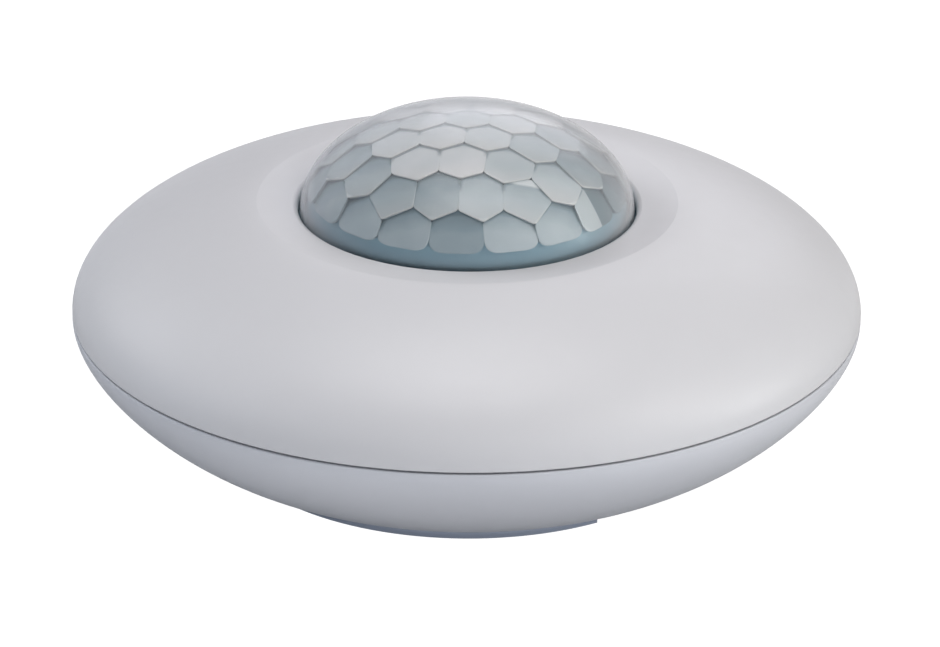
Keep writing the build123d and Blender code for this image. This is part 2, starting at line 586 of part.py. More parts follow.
# ---------------------------------------------------------------- heat sensor and status light
CAN_TOP = SENSOR_TOP + 4.2
CAN_R = 4.1
CAN_FLANGE_R = 4.6
WINDOW = (4.4, 3.4)
WINDOW_DEPTH = 0.5
with BuildPart() as heat_sensor:
    with Locations((0, 0, SENSOR_TOP)):
        Cylinder(CAN_FLANGE_R, 0.6, align=BOTTOM)
        Cylinder(CAN_R, CAN_TOP - SENSOR_TOP, align=BOTTOM)
    fillet(heat_sensor.edges().group_by(Axis.Z)[-1], 0.4)
    with Locations((0, 0, CAN_TOP - WINDOW_DEPTH)):
        Box(*WINDOW, 1, align=BOTTOM, mode=Mode.SUBTRACT)
    for x, y in SENSOR_LEADS:
        with Locations((x, y, SENSOR_TOP)):
            Cylinder(SENSOR_LEAD_T + 0.05, 1.0, align=BOTTOM, mode=Mode.SUBTRACT)
write(heat_sensor.part, "heat_sensor")

with BuildPart() as sensor_window:
    with Locations((0, 0, CAN_TOP - WINDOW_DEPTH)):
        Box(*WINDOW, WINDOW_DEPTH - 0.1, align=BOTTOM)
write(sensor_window.part, "sensor_window")

with BuildPart() as sensor_leads:
    for x, y in SENSOR_LEADS:
        with Locations((x, y, SENSOR_BOARD_Z - 1.2)):
            Cylinder(SENSOR_LEAD_T, SENSOR_BOARD_T + 2.2, align=BOTTOM)
write(sensor_leads.part, "sensor_leads")

LED_R = 1.5
LED_RISE = 4.4
with BuildPart() as status_light:
    with Locations((*LED_AT, SENSOR_TOP)):
        Cylinder(LED_R + 0.3, 0.8, align=BOTTOM)
        Cylinder(LED_R, LED_RISE, align=BOTTOM)
    fillet(status_light.edges().group_by(Axis.Z)[-1], LED_R - 0.1)
write(status_light.part, "status_light")

# ---------------------------------------------------------------- spring clips that hold the cover
SKIRT_IN, SKIRT_OUT = 54.2, 56.2
SKIRT_Z = 18.8
GROOVE_R = 55.0
GROOVE_Z = 20.0
CLIP_HALF = 4.0  # half its width
CLIP_T = 0.45
RIVET_HEAD = (1.6, 0.7)  # radius and height
with BuildPart() as cover_clips:
    for angle in CLIP_ANGLES:
        with BuildSketch(radial_plane(angle, -CLIP_HALF)):
            with BuildLine() as leaf:
                Polyline(
                    (CLIP_POST_IN + 0.4, CLIP_POST_TOP + CLIP_T / 2),
                    (CLIP_POST_OUT + 0.6, CLIP_POST_TOP + CLIP_T / 2),
                    (CLIP_POST_OUT + 1.2, GROOVE_Z - 2.6),
                    (GROOVE_R - 0.55, GROOVE_Z),
                    (CLIP_POST_OUT + 2.2, GROOVE_Z + 2.2),
                )
            trace(leaf.line, CLIP_T)
        extrude(amount=2 * CLIP_HALF)
        with Locations((*polar(RIVET_AT, angle), CLIP_POST_TOP)):
            Cylinder(RIVET_R, 1, align=BOTTOM, mode=Mode.SUBTRACT)
write(cover_clips.part, "cover_clips")

with BuildPart() as clip_rivets:
    for angle in CLIP_ANGLES:
        x, y = polar(RIVET_AT, angle)
        with Locations((x, y, CLIP_POST_TOP + CLIP_T)):
            Cylinder(*RIVET_HEAD, align=BOTTOM)
        with Locations((x, y, CLIP_POST_TOP - 2.8)):
            Cylinder(RIVET_R - 0.05, 2.8 + CLIP_T + 0.1, align=BOTTOM)
write(clip_rivets.part, "clip_rivets")

# ---------------------------------------------------------------- front cover
RETAINER_ANGLES = (30.0, 150.0, 270.0)
RETAINER_AT = 34.2
RETAINER_TOP = 34.9
BOSS_R = 2.6
PILOT_R = 0.95
RIB_R = 1.8  # rib that presses the tamper plunger

with BuildPart() as cover_hollow:  # the room inside, without the bosses and the rib
    with BuildSketch(Plane.XZ):
        with BuildLine():
            Polyline(
                COVER_INSIDE[-1],
                (SKIRT_IN, SEAM_Z + 0.4),
                (SKIRT_IN, GROOVE_Z + 0.8),
                (GROOVE_R, GROOVE_Z + 0.6),
                (GROOVE_R, GROOVE_Z - 0.6),
                (SKIRT_IN, GROOVE_Z - 0.8),
                (SKIRT_IN, SKIRT_Z - 1),
                (0, SKIRT_Z - 1),
                (0, COVER_SEAT_Z),
                COVER_INSIDE[0],
            )
            Bezier(*COVER_INSIDE)
        make_face()
    revolve(axis=Axis.Z)
    for angle in RETAINER_ANGLES:
        with Locations((*polar(RETAINER_AT, angle), RETAINER_TOP)):
            Cylinder(BOSS_R, 3, align=BOTTOM, mode=Mode.SUBTRACT)
    with Locations((*TAMPER_AT, PLUNGER_TOP + 0.05)):
        Cylinder(RIB_R, 20, align=BOTTOM, mode=Mode.SUBTRACT)

with BuildPart() as front_cover:
    with BuildSketch(Plane.XZ):
        with BuildLine():
            Bezier(*COVER_CURVE)
            Polyline(
                COVER_CURVE[-1],
                (BODY_R, SEAM_Z + SEAM_GAP / 2),
                (SKIRT_OUT, SEAM_Z + SEAM_GAP / 2),
                (SKIRT_OUT, SKIRT_Z),
                (0, SKIRT_Z),
                (0, OPENING_Z),
                (OPENING_R, OPENING_Z),
                (BEZEL_R, BEZEL_Z),
            )
        make_face()
    revolve(axis=Axis.Z)
    seam_edges = front_cover.edges().filter_by(
        lambda e: abs(e.center().Z - SEAM_Z - SEAM_GAP / 2) < 0.01 and e.length > 2 * BODY_R * 3.1
    )
    fillet(seam_edges, EDGE_ROUND)
    add(cover_hollow.part, mode=Mode.SUBTRACT)
    with Locations((0, 0, COVER_SEAT_Z - 1)):
        Cylinder(OPENING_R, 5, align=BOTTOM, mode=Mode.SUBTRACT)
    rim = front_cover.edges().filter_by(
        lambda e: abs(e.center().Z - OPENING_Z) < 0.01 and abs(e.length - 2 * math.pi * OPENING_R) < 1
    )
    fillet(rim, OPENING_ROUND)
    for angle in RETAINER_ANGLES:
        with Locations((*polar(RETAINER_AT, angle), RETAINER_TOP)):
            Cylinder(PILOT_R, 2.4, align=BOTTOM, mode=Mode.SUBTRACT)
write(front_cover.part, "front_cover")

# ---------------------------------------------------------------- lens, gasket and retainer
LENS_FLANGE_R = 29.0
LENS_FLANGE_TOP = 36.0
outer_dome = dome(LENS_R, LENS_RISE)
inner_dome = dome(LENS_R - LENS_WALL, LENS_RISE - LENS_WALL)
with BuildPart() as lens:
    with BuildSketch(Plane.XZ):
        with BuildLine():
            Bezier(*outer_dome)
            Line(outer_dome[-1], inner_dome[-1])
            Bezier(*inner_dome)
            Polyline(
                inner_dome[0],
                (inner_dome[0][0], RETAINER_TOP),
                (LENS_FLANGE_R, RETAINER_TOP),
                (LENS_FLANGE_R, LENS_FLANGE_TOP),
                (LENS_R, LENS_FLANGE_TOP),
                outer_dome[0],
            )
        make_face()
    revolve(axis=Axis.Z)
write(lens.part, "lens")

with BuildPart() as lens_gasket:
    with BuildSketch(Plane.XY.offset(LENS_FLANGE_TOP)):
        Circle(LENS_FLANGE_R + 0.4)
        Circle(LENS_R + 0.75, mode=Mode.SUBTRACT)
    extrude(amount=COVER_SEAT_Z - LENS_FLANGE_TOP)
write(lens_gasket.part, "lens_gasket")

RETAINER_T = 1.6
RETAINER_R = 31.6
EAR_R = 3.4  # ears round the screws
with BuildPart() as lens_retainer:
    with BuildSketch(Plane.XY.offset(RETAINER_TOP - RETAINER_T)):
        Circle(RETAINER_R)
        with Locations(*[polar(RETAINER_AT, angle) for angle in RETAINER_ANGLES]):
            Circle(EAR_R)
        Circle(LENS_R - LENS_WALL + 0.15, mode=Mode.SUBTRACT)
        with Locations(*[polar(RETAINER_AT, angle) for angle in RETAINER_ANGLES]):
            Circle(PILOT_R + 0.25, mode=Mode.SUBTRACT)
    extrude(amount=RETAINER_T)
write(lens_retainer.part, "lens_retainer")

RETAINER_SCREW_HEAD = (1.9, 1.3)  # radius and height
RETAINER_SCREW_CROSS = (2.4, 0.5)
with BuildPart() as retainer_screws:
    for angle in RETAINER_ANGLES:
        x, y = polar(RETAINER_AT, angle)
        with Locations((x, y, RETAINER_TOP - RETAINER_T - RETAINER_SCREW_HEAD[1])):
            Cylinder(*RETAINER_SCREW_HEAD, align=BOTTOM)
        with Locations((x, y, RETAINER_TOP - RETAINER_T - 0.2)):
            Cylinder(PILOT_R - 0.05, 3.8, align=BOTTOM)
        with Locations((x, y, RETAINER_TOP - RETAINER_T - 1.4)):
            Box(*RETAINER_SCREW_CROSS, 0.8, align=BOTTOM, mode=Mode.SUBTRACT)
            Box(*reversed(RETAINER_SCREW_CROSS), 0.8, align=BOTTOM, mode=Mode.SUBTRACT)
write(retainer_screws.part, "retainer_screws")
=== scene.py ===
import json
import math
import random

import bpy
from mathutils import Matrix, Vector


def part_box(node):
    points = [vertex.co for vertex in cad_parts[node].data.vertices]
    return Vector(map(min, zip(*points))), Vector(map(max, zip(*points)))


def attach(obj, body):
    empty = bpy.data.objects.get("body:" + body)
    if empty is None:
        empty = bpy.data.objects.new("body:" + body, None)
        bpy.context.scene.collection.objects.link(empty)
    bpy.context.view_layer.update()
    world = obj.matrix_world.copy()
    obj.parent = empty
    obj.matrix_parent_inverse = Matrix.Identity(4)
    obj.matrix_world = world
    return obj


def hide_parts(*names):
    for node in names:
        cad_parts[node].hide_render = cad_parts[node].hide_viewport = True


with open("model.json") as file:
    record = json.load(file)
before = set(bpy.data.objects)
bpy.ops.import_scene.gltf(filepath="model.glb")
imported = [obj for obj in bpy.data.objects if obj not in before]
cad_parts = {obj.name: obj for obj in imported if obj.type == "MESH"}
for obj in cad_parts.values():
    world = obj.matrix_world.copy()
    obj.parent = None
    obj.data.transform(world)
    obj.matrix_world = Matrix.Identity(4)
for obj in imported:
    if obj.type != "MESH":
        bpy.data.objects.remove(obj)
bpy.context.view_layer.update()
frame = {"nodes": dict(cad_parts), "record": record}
nodes = frame["nodes"]

MM = 0.001

# ---------------------------------------------------------------- driving sizes, in millimetres
LENS_R = 25.32  # outer skin: half an ellipsoid on a short cylinder
LENS_BASE_Z = 37.5
LENS_TOP_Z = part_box("lens")[1].z / MM
LENS_RISE = LENS_TOP_Z - LENS_BASE_Z
FLANGE_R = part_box("lens")[1].x / MM
FLANGE_TOP_Z = 36.0
FLANGE_BOTTOM_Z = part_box("lens")[0].z / MM
SKIN_T = 0.25
FACET_DEPTH = 0.88  # the facets lie this far under the outer skin at the rim
CROWN_DEPTH = 0.5  # and this far at the top
BACKING_DEPTH = 1.3  # and the smooth wall behind them this far at the top
BACKING_FLARE = 0.1  # and this much less at the rim

BOARD_TOP_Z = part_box("main_board")[1].z / MM
SENSOR_TOP_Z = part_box("sensor_board")[1].z / MM
TERMINAL_COUNT = 6
TERMINAL_PITCH = 5.0
LINK_COUNT = 6
LINK_PITCH = 2.54


# ---------------------------------------------------------------- mesh tools
SHARP = 40.0  # an edge stays sharp where its faces meet at this angle or more, in degrees
LENS_SHARP = 50.0
SOLDER_SHARP = 60.0


def mesh_piece(name, points, faces, material, sharp=SHARP):
    """A mesh object from points in millimetres, smooth except along its sharp edges."""
    mesh = bpy.data.meshes.new(name)
    mesh.from_pydata([Vector(p) * MM for p in points], [], faces)
    mesh.validate()
    mesh.shade_smooth()
    mesh.set_sharp_from_angle(angle=math.radians(sharp))
    mesh.materials.append(material)
    piece = bpy.data.objects.new(name, mesh)
    bpy.context.scene.collection.objects.link(piece)
    return piece


class Solids:
    """Gathers closed solids, which become one piece."""

    def __init__(self):
        self.points = []
        self.faces = []

    def add(self, points, faces):
        first = len(self.points)
        self.points += [Vector(p) for p in points]
        self.faces += [[first + i for i in face] for face in faces]

    def lathe(self, profile, centre=(0, 0, 0), steps=48):
        """A closed solid turned from (radius, height) pairs, listed upwards; both ends are capped."""
        x, y, z = centre
        points = []
        for radius, height in profile:
            for k in range(steps):
                angle = 2 * math.pi * k / steps
                points.append((x + radius * math.cos(angle), y + radius * math.sin(angle), z + height))
        faces = [list(range(steps))[::-1]]
        for row in range(len(profile) - 1):
            for k in range(steps):
                near, far = row * steps + k, row * steps + (k + 1) % steps
                faces.append([near, far, far + steps, near + steps])
        faces.append([(len(profile) - 1) * steps + k for k in range(steps)])
        self.add(points, faces)

    def ring(self, loop, steps=256):
        """A closed solid turned from a loop of (radius, height) pairs, counter-clockwise."""
        points = []
        for radius, height in loop:
            for k in range(steps):
                angle = 2 * math.pi * k / steps
                points.append((radius * math.cos(angle), radius * math.sin(angle), height))
        faces = []
        for row in range(len(loop)):
            here, above = row * steps, (row + 1) % len(loop) * steps
            for k in range(steps):
                far = (k + 1) % steps
                faces.append([here + k, here + far, above + far, above + k])
        self.add(points, faces)

    def prism(self, outline, low, high):
        """A closed solid: a counter-clockwise outline of (x, y) between two heights."""
        count = len(outline)
        points = [(x, y, z) for z in (low, high) for x, y in outline]
        faces = [list(range(count))[::-1], list(range(count, 2 * count))]
        faces += [[k, (k + 1) % count, count + (k + 1) % count, count + k] for k in range(count)]
        self.add(points, faces)

    def brick(self, low, high, edge):
        """A box with small chamfers on its top and upright edges."""
        (x0, y0, z0), (x1, y1, z1) = low, high

        def loop(inset, cut):
            a0, a1, b0, b1 = x0 + inset, x1 - inset, y0 + inset, y1 - inset
            return [
                (a0 + cut, b0), (a1 - cut, b0), (a1, b0 + cut), (a1, b1 - cut),
                (a1 - cut, b1), (a0 + cut, b1), (a0, b1 - cut), (a0, b0 + cut),
            ]

        rows = [(0, z0), (0, z1 - edge), (edge, z1)]
        points = [(x, y, z) for inset, z in rows for x, y in loop(inset, edge)]
        sides = len(points) // len(rows)
        faces = [list(range(sides))[::-1], list(range(2 * sides, 3 * sides))]
        for row in (0, sides):
            for k in range(sides):
                far = (k + 1) % sides
                faces.append([row + k, row + far, row + sides + far, row + sides + k])
        self.add(points, faces)

    def piece(self, name, material, sharp=SHARP):
        return mesh_piece(name, self.points, self.faces, material, sharp)


def ellipse_arc(radius, rise, count):
    """Points of a quarter ellipse over the lens base, from its foot up to just short of the axis."""
    steps = [math.pi / 2 * k / count for k in range(count)]
    return [(radius * math.cos(t), LENS_BASE_Z + rise * math.sin(t)) for t in steps]


def polar(radius, degrees):
    return radius * math.cos(math.radians(degrees)), radius * math.sin(math.radians(degrees))


# ---------------------------------------------------------------- material tools
MIX_A, MIX_B, MIX_RESULT = 6, 7, 2  # the colour sockets of a Mix node, among those for other types
NOISE_LOW, NOISE_HIGH = 0.3, 0.7  # nearly all of a noise's values lie between these


class Look:
    """A node material in the making. Each method adds a node and gives its output."""

    def __init__(self, name, roughness=0.5, metallic=0.0, **sockets):
        self.material = bpy.data.materials.new(name)
        self.material.use_nodes = True
        self.tree = self.material.node_tree
        self.shader = self.tree.nodes["Principled BSDF"]
        self.shader.inputs["Roughness"].default_value = roughness
        self.shader.inputs["Metallic"].default_value = metallic
        for socket, value in sockets.items():
            self.shader.inputs[socket.replace("_", " ")].default_value = value
        self.place = self.tree.nodes.new("ShaderNodeTexCoord").outputs["Object"]

    def set(self, socket, value):
        if isinstance(value, bpy.types.NodeSocket):
            self.tree.links.new(value, socket)
        elif isinstance(value, (tuple, list)) and len(value) == 3 and socket.type == "RGBA":
            socket.default_value = (*value, 1.0)
        else:
            socket.default_value = value

    def shade(self, **sockets):
        for socket, value in sockets.items():
            self.set(self.shader.inputs[socket.replace("_", " ")], value)
        return self.material

    def noise(self, size, detail=2.0, vector=None):
        """Noise with features of about this size in millimetres."""
        node = self.tree.nodes.new("ShaderNodeTexNoise")
        node.inputs["Scale"].default_value = 1 / (size * MM)
        node.inputs["Detail"].default_value = detail
        self.set(node.inputs["Vector"], vector or self.place)
        return node.outputs["Fac"]

    def stretched(self, x, y, z):
        node = self.tree.nodes.new("ShaderNodeVectorMath")
        node.operation = "MULTIPLY"
        self.set(node.inputs[0], self.place)
        node.inputs[1].default_value = (x, y, z)
        return node.outputs[0]

    def axis(self, letter, vector=None):
        node = self.tree.nodes.new("ShaderNodeSeparateXYZ")
        self.set(node.inputs[0], vector or self.place)
        return node.outputs[letter]

    def normal(self, letter):
        node = self.tree.nodes.new("ShaderNodeNewGeometry")
        return self.axis(letter, node.outputs["True Normal"])

    def attribute(self, name):
        node = self.tree.nodes.new("ShaderNodeAttribute")
        node.attribute_name = name
        return node.outputs["Fac"]

    def math(self, operation, a, b=0.0):
        node = self.tree.nodes.new("ShaderNodeMath")
        node.operation = operation
        self.set(node.inputs[0], a)
        self.set(node.inputs[1], b)
        return node.outputs[0]

    def span(self, value, low, high, to_low=0.0, to_high=1.0):
        """The value moved from one range to another, and held there."""
        node = self.tree.nodes.new("ShaderNodeMapRange")
        self.set(node.inputs["Value"], value)
        node.inputs["From Min"].default_value = low
        node.inputs["From Max"].default_value = high
        node.inputs["To Min"].default_value = to_low
        node.inputs["To Max"].default_value = to_high
        return node.outputs["Result"]

    def varied(self, noise, low, high):
        """A noise moved to the range from low to high."""
        return self.span(noise, NOISE_LOW, NOISE_HIGH, low, high)

    def mix(self, factor, a, b):
        node = self.tree.nodes.new("ShaderNodeMix")
        node.data_type = "RGBA"
        self.set(node.inputs[0], factor)
        self.set(node.inputs[MIX_A], a)
        self.set(node.inputs[MIX_B], b)
        return node.outputs[MIX_RESULT]

    def ramp(self, factor, *stops):
        """Colours along the factor, from (position, colour) stops."""
        node = self.tree.nodes.new("ShaderNodeValToRGB")
        elements = node.color_ramp.elements
        while len(elements) < len(stops):
            elements.new(1.0)
        for element, (position, colour) in zip(elements, stops):
            element.position = position
            element.color = (*colour, 1.0)
        self.set(node.inputs["Fac"], factor)
        return node.outputs["Color"]

    def bump(self, height, depth):
        """A normal from a height of 0 to 1 that stands for this depth in millimetres."""
        node = self.tree.nodes.new("ShaderNodeBump")
        node.inputs["Strength"].default_value = 1.0
        node.inputs["Distance"].default_value = depth * MM
        self.set(node.inputs["Height"], height)
        return node.outputs["Normal"]


def scaled(colour, factor):
    return tuple(min(1.0, channel * factor) for channel in colour)


CLOUD = 14.0  # size of the faint clouding in moulded plastic
GLOSS_PATCH = 2.5  # size of the patches in which its gloss differs
GLOSS_SPREAD = 0.03
MOTTLE = 0.03


def clouded(look, colour, mottle):
    return look.mix(look.noise(CLOUD, 3.0), scaled(colour, 1 - mottle), scaled(colour, 1 + mottle))


def uneven_gloss(look, roughness):
    return look.varied(look.noise(GLOSS_PATCH), roughness - GLOSS_SPREAD, roughness + GLOSS_SPREAD)


def moulded(name, colour, roughness, grain, depth=0.004, mottle=MOTTLE):
    """Moulded plastic: a fine spark-eroded grain, faint clouding and slightly uneven gloss."""
    look = Look(name)
    return look.shade(
        Base_Color=clouded(look, colour, mottle),
        Roughness=uneven_gloss(look, roughness),
        Normal=look.bump(look.noise(grain, 3.0), depth),
    )


FOOT_SHADOW_HEIGHTS = (0.5, 1.3)  # heights between which a painted contact shadow darkens the foot's rim towards the floor
# the painted shadow's colour, and how much of it reaches the foot of the rim
FOOT_SHADOW_COLOUR = (0.03, 0.035, 0.045)
FOOT_SHADOW_SHARE = 0.4


def foot_plastic(name, colour, roughness):
    """The plate's plastic, with a painted contact shadow darkening its upright rim where it curls under
    to the floor.
    """
    look = Look(name)
    # painted shadow: the upright rim grows darker near the floor
    floor_shadow = look.span(look.axis("Z"), FOOT_SHADOW_HEIGHTS[0] * MM, FOOT_SHADOW_HEIGHTS[1] * MM, FOOT_SHADOW_SHARE, 0.0)
    upright = look.span(look.math("ABSOLUTE", look.normal("Z")), 0.9, 0.7)
    shade = look.math("MULTIPLY", floor_shadow, upright)
    return look.shade(
        Base_Color=look.mix(shade, clouded(look, colour, MOTTLE), FOOT_SHADOW_COLOUR),
        Roughness=uneven_gloss(look, roughness),
        Normal=look.bump(look.noise(0.5, 3.0), 0.012),
    )


def metal(name, colour, roughness, stretch, size, tarnish=0.12):
    """Plated or drawn metal: streaks along one direction, with duller patches."""
    look = Look(name, metallic=1.0)
    streaks = look.noise(size, 4.0, look.stretched(*stretch))
    patches = look.noise(2.2, 3.0)
    return look.shade(
        Base_Color=look.mix(look.span(patches, 0.35, 0.7), colour, scaled(colour, 1 - tarnish)),
        Roughness=look.varied(streaks, roughness - 0.08, roughness + 0.1),
        Normal=look.bump(streaks, 0.006),
    )


# ---------------------------------------------------------------- materials of the CAD nodes
SOLDER_MASK = ((0.012, 0.115, 0.048), (0.020, 0.160, 0.066))
GLASS_CLOTH = ((0.38, 0.36, 0.17), (0.55, 0.52, 0.30))
WEAVE = 0.5  # size of the weave's threads
WEAVE_STRETCH = 0.25


def laminate(name):
    """Green solder mask over a glass weave, with the bare cloth on the cut edge."""
    look = Look(name, roughness=0.32, Coat_Weight=0.3, Coat_Roughness=0.15)
    weave = look.noise(WEAVE, 2.0, look.stretched(1, WEAVE_STRETCH, 1))
    cross = look.noise(WEAVE, 2.0, look.stretched(WEAVE_STRETCH, 1, 1))
    cloth = look.math("ADD", look.math("MULTIPLY", weave, 0.5), look.math("MULTIPLY", cross, 0.5))
    mask = look.mix(look.span(cloth, 0.35, 0.65), *SOLDER_MASK)
    glass = look.mix(look.noise(0.2), *GLASS_CLOTH)
    flat = look.span(look.math("ABSOLUTE", look.normal("Z")), 0.3, 0.7)
    return look.shade(Base_Color=look.mix(flat, glass, mask), Normal=look.bump(cloth, 0.012))


def rubber(name, colour):
    look = Look(name, roughness=0.75)
    bloom = look.noise(1.6, 4.0)
    tint = look.mix(look.span(bloom, 0.4, 0.75), colour, scaled(colour, 2.0))
    return look.shade(Base_Color=tint, Normal=look.bump(look.noise(0.18, 3.0), 0.012))


PORE = 0.28  # size of the gasket foam's cells
FOAM_SHADES = ((0.012, 0.013, 0.014), (0.05, 0.052, 0.055))


def foam(name):
    """Closed-cell foam: small round pores."""
    look = Look(name, roughness=0.9)
    cells = look.tree.nodes.new("ShaderNodeTexVoronoi")
    cells.inputs["Scale"].default_value = 1 / (PORE * MM)
    look.set(cells.inputs["Vector"], look.place)
    pores = look.span(cells.outputs["Distance"], 0.1, 0.55)
    return look.shade(Base_Color=look.mix(pores, *FOAM_SHADES), Normal=look.bump(pores, 0.05))


BARE_TOP = (0.80, 0.78)  # edge of a capacitor's bare top, as shares of its radius
STRIPE = (0.72, 0.76)  # edge of the stripe down its side
SLEEVE_SHADES = ((0.010, 0.012, 0.020), (0.018, 0.020, 0.032))
STRIPE_GREY = (0.42, 0.43, 0.45)
ALUMINIUM = ((0.62, 0.63, 0.65), (0.80, 0.81, 0.83))


def sleeved(name, node):
    """A capacitor: dark shrink sleeve with a pale stripe, and a bare scored aluminium top."""
    low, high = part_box(node)
    centre = (low + high) / 2
    reach = (high.x - low.x) / 2
    look = Look(name)
    across = look.math("SUBTRACT", look.axis("X"), centre.x)
    along = look.math("SUBTRACT", look.axis("Y"), centre.y)
    squares = look.math("ADD", look.math("MULTIPLY", across, across), look.math("MULTIPLY", along, along))
    radius = look.math("SQRT", squares)
    facing = look.span(look.normal("Z"), 0.5, 0.9)
    top = look.math("MULTIPLY", facing, look.span(radius, reach * BARE_TOP[0], reach * BARE_TOP[1]))
    upright = look.span(look.normal("Z"), 0.5, 0.4)
    stripe = look.math("MULTIPLY", look.span(along, reach * STRIPE[0], reach * STRIPE[1]), upright)
    sleeve = look.mix(stripe, look.mix(look.noise(1.5), *SLEEVE_SHADES), STRIPE_GREY)
    scored = look.mix(look.noise(0.25, 4.0), *ALUMINIUM)
    return look.shade(
        Base_Color=look.mix(top, sleeve, scored),
        Metallic=top,
        Roughness=look.span(top, 0, 1, 0.26, 0.42),
        Normal=look.bump(look.noise(0.8), 0.01),
    )


LEG_EDGE = 0.01  # half the width over which a chip's body gives way to its legs


def legged(name, node, body_half, body, leg):
    """A chip: matt moulded body, tinned legs beyond the body's half depth."""
    low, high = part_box(node)
    centre = (low + high) / 2
    look = Look(name)
    reach = look.math("ABSOLUTE", look.math("SUBTRACT", look.axis("Y"), centre.y))
    legs = look.span(reach, (body_half - LEG_EDGE) * MM, (body_half + LEG_EDGE) * MM)
    speckle = look.mix(look.noise(0.15, 3.0), scaled(body, 0.75), scaled(body, 1.3))
    tin = look.mix(look.noise(0.3, 3.0), leg, scaled(leg, 0.82))
    return look.shade(
        Base_Color=look.mix(legs, speckle, tin),
        Metallic=legs,
        Roughness=look.span(legs, 0, 1, 0.55, 0.3),
        Normal=look.bump(look.noise(0.12, 3.0), 0.01),
    )


def tinted_resin(name, colour):
    """Clear coloured epoxy, as a small light is cast in."""
    look = Look(name, roughness=0.08, Transmission_Weight=0.55, IOR=1.5)
    haze = look.mix(look.noise(1.2), colour, scaled(colour, 0.7))
    return look.shade(Base_Color=haze, Normal=look.bump(look.noise(0.6), 0.004))


def coated_window(name):
    """The heat sensor's dark filter, with a faint bronze and violet coating."""
    look = Look(name, roughness=0.12, metallic=0.35, Coat_Weight=0.6, Coat_Roughness=0.05)
    film = look.mix(look.noise(1.4, 1.0), (0.055, 0.040, 0.070), (0.085, 0.060, 0.045))
    return look.shade(Base_Color=film, Normal=look.bump(look.noise(0.9), 0.002))


COVER_WHITE = (0.600, 0.598, 0.612)
REAR_WHITE = (0.578, 0.588, 0.622)
FOOT_GREY = (0.35, 0.39, 0.475)
SHELL_MOTTLE = 0.012
CHIP_BODY_HALF = 3.7  # from the chip's middle to the side of its body, without the legs
CHIP_BLACK = (0.016, 0.016, 0.018)
CHIP_LEG = (0.70, 0.70, 0.71)

cover_plastic = moulded("cover_plastic", COVER_WHITE, 0.42, grain=0.4, depth=0.005, mottle=SHELL_MOTTLE)
rear_plastic = moulded("rear_plastic", REAR_WHITE, 0.46, grain=0.4, depth=0.006, mottle=SHELL_MOTTLE)
plate_plastic = foot_plastic("plate_plastic", FOOT_GREY, 0.55)
seal_rubber = rubber("seal_rubber", (0.022, 0.022, 0.024))
board_laminate = laminate("board_laminate")
screw_steel = metal("screw_steel", (0.66, 0.67, 0.68), 0.30, (1, 1, 0.3), 0.5)
clip_steel = metal("clip_steel", (0.56, 0.57, 0.60), 0.34, (0.25, 0.25, 1), 0.35)
contact_brass = metal("contact_brass", (0.72, 0.66, 0.50), 0.32, (1, 1, 0.3), 0.5, 0.2)
pin_metal = metal("pin_metal", (0.83, 0.66, 0.33), 0.26, (1, 1, 0.2), 0.4, 0.15)
can_nickel = metal("can_nickel", (0.68, 0.66, 0.62), 0.24, (0.6, 0.6, 1), 0.9, 0.1)

LOOKS = {
    "cover_plastic": cover_plastic,
    "rear_plastic": rear_plastic,
    "plate_plastic": plate_plastic,
    "seal_rubber": seal_rubber,
    "board_laminate": board_laminate,
    "screw_steel": screw_steel,
    "clip_steel": clip_steel,
    "contact_brass": contact_brass,
    "pin_metal": pin_metal,
    "sensor_can": can_nickel,
    "terminal_plastic": moulded("terminal_plastic", (0.020, 0.140, 0.060), 0.38, grain=0.3, mottle=0.12),
    "relay_plastic": moulded("relay_plastic", (0.62, 0.62, 0.58), 0.30, grain=0.6, mottle=0.03),
    "trimmer_plastic": moulded("trimmer_plastic", (0.015, 0.050, 0.26), 0.30, grain=0.4, mottle=0.12),
    "dial_plastic": moulded("dial_plastic", (0.68, 0.63, 0.48), 0.42, grain=0.3, mottle=0.05),
    "switch_plastic": moulded("switch_plastic", (0.36, 0.014, 0.010), 0.38, grain=0.3, mottle=0.12),
    "slider_plastic": moulded("slider_plastic", (0.74, 0.74, 0.71), 0.40, grain=0.3, mottle=0.04),
    "header_plastic": moulded("header_plastic", (0.012, 0.012, 0.013), 0.45, grain=0.3, mottle=0.2),
    "spacer_nylon": moulded("spacer_nylon", (0.66, 0.65, 0.58), 0.42, grain=0.6, mottle=0.05),
    "retainer_plastic": moulded("retainer_plastic", (0.46, 0.47, 0.48), 0.5, grain=0.5, depth=0.01),
    "gasket_foam": foam("gasket_foam"),
    "window_filter": coated_window("window_filter"),
    "light_lens": tinted_resin("light_lens", (0.55, 0.03, 0.02)),
}
NODE_LOOKS = {
    "large_capacitor": sleeved("large_sleeve", "large_capacitor"),
    "small_capacitor": sleeved("small_sleeve", "small_capacitor"),
    "controller_chip": legged("chip_plastic", "controller_chip", CHIP_BODY_HALF, CHIP_BLACK, CHIP_LEG),
}
for row in frame["record"]["subparts"]:
    own_look = NODE_LOOKS.get(row["node"])
    # the lens and the small chips have neither, since pieces made below replace them
    look = own_look or LOOKS.get(row["material_slot"]) or cover_plastic
    part = nodes[row["node"]]
    part.data.materials.clear()
    part.data.materials.append(look)


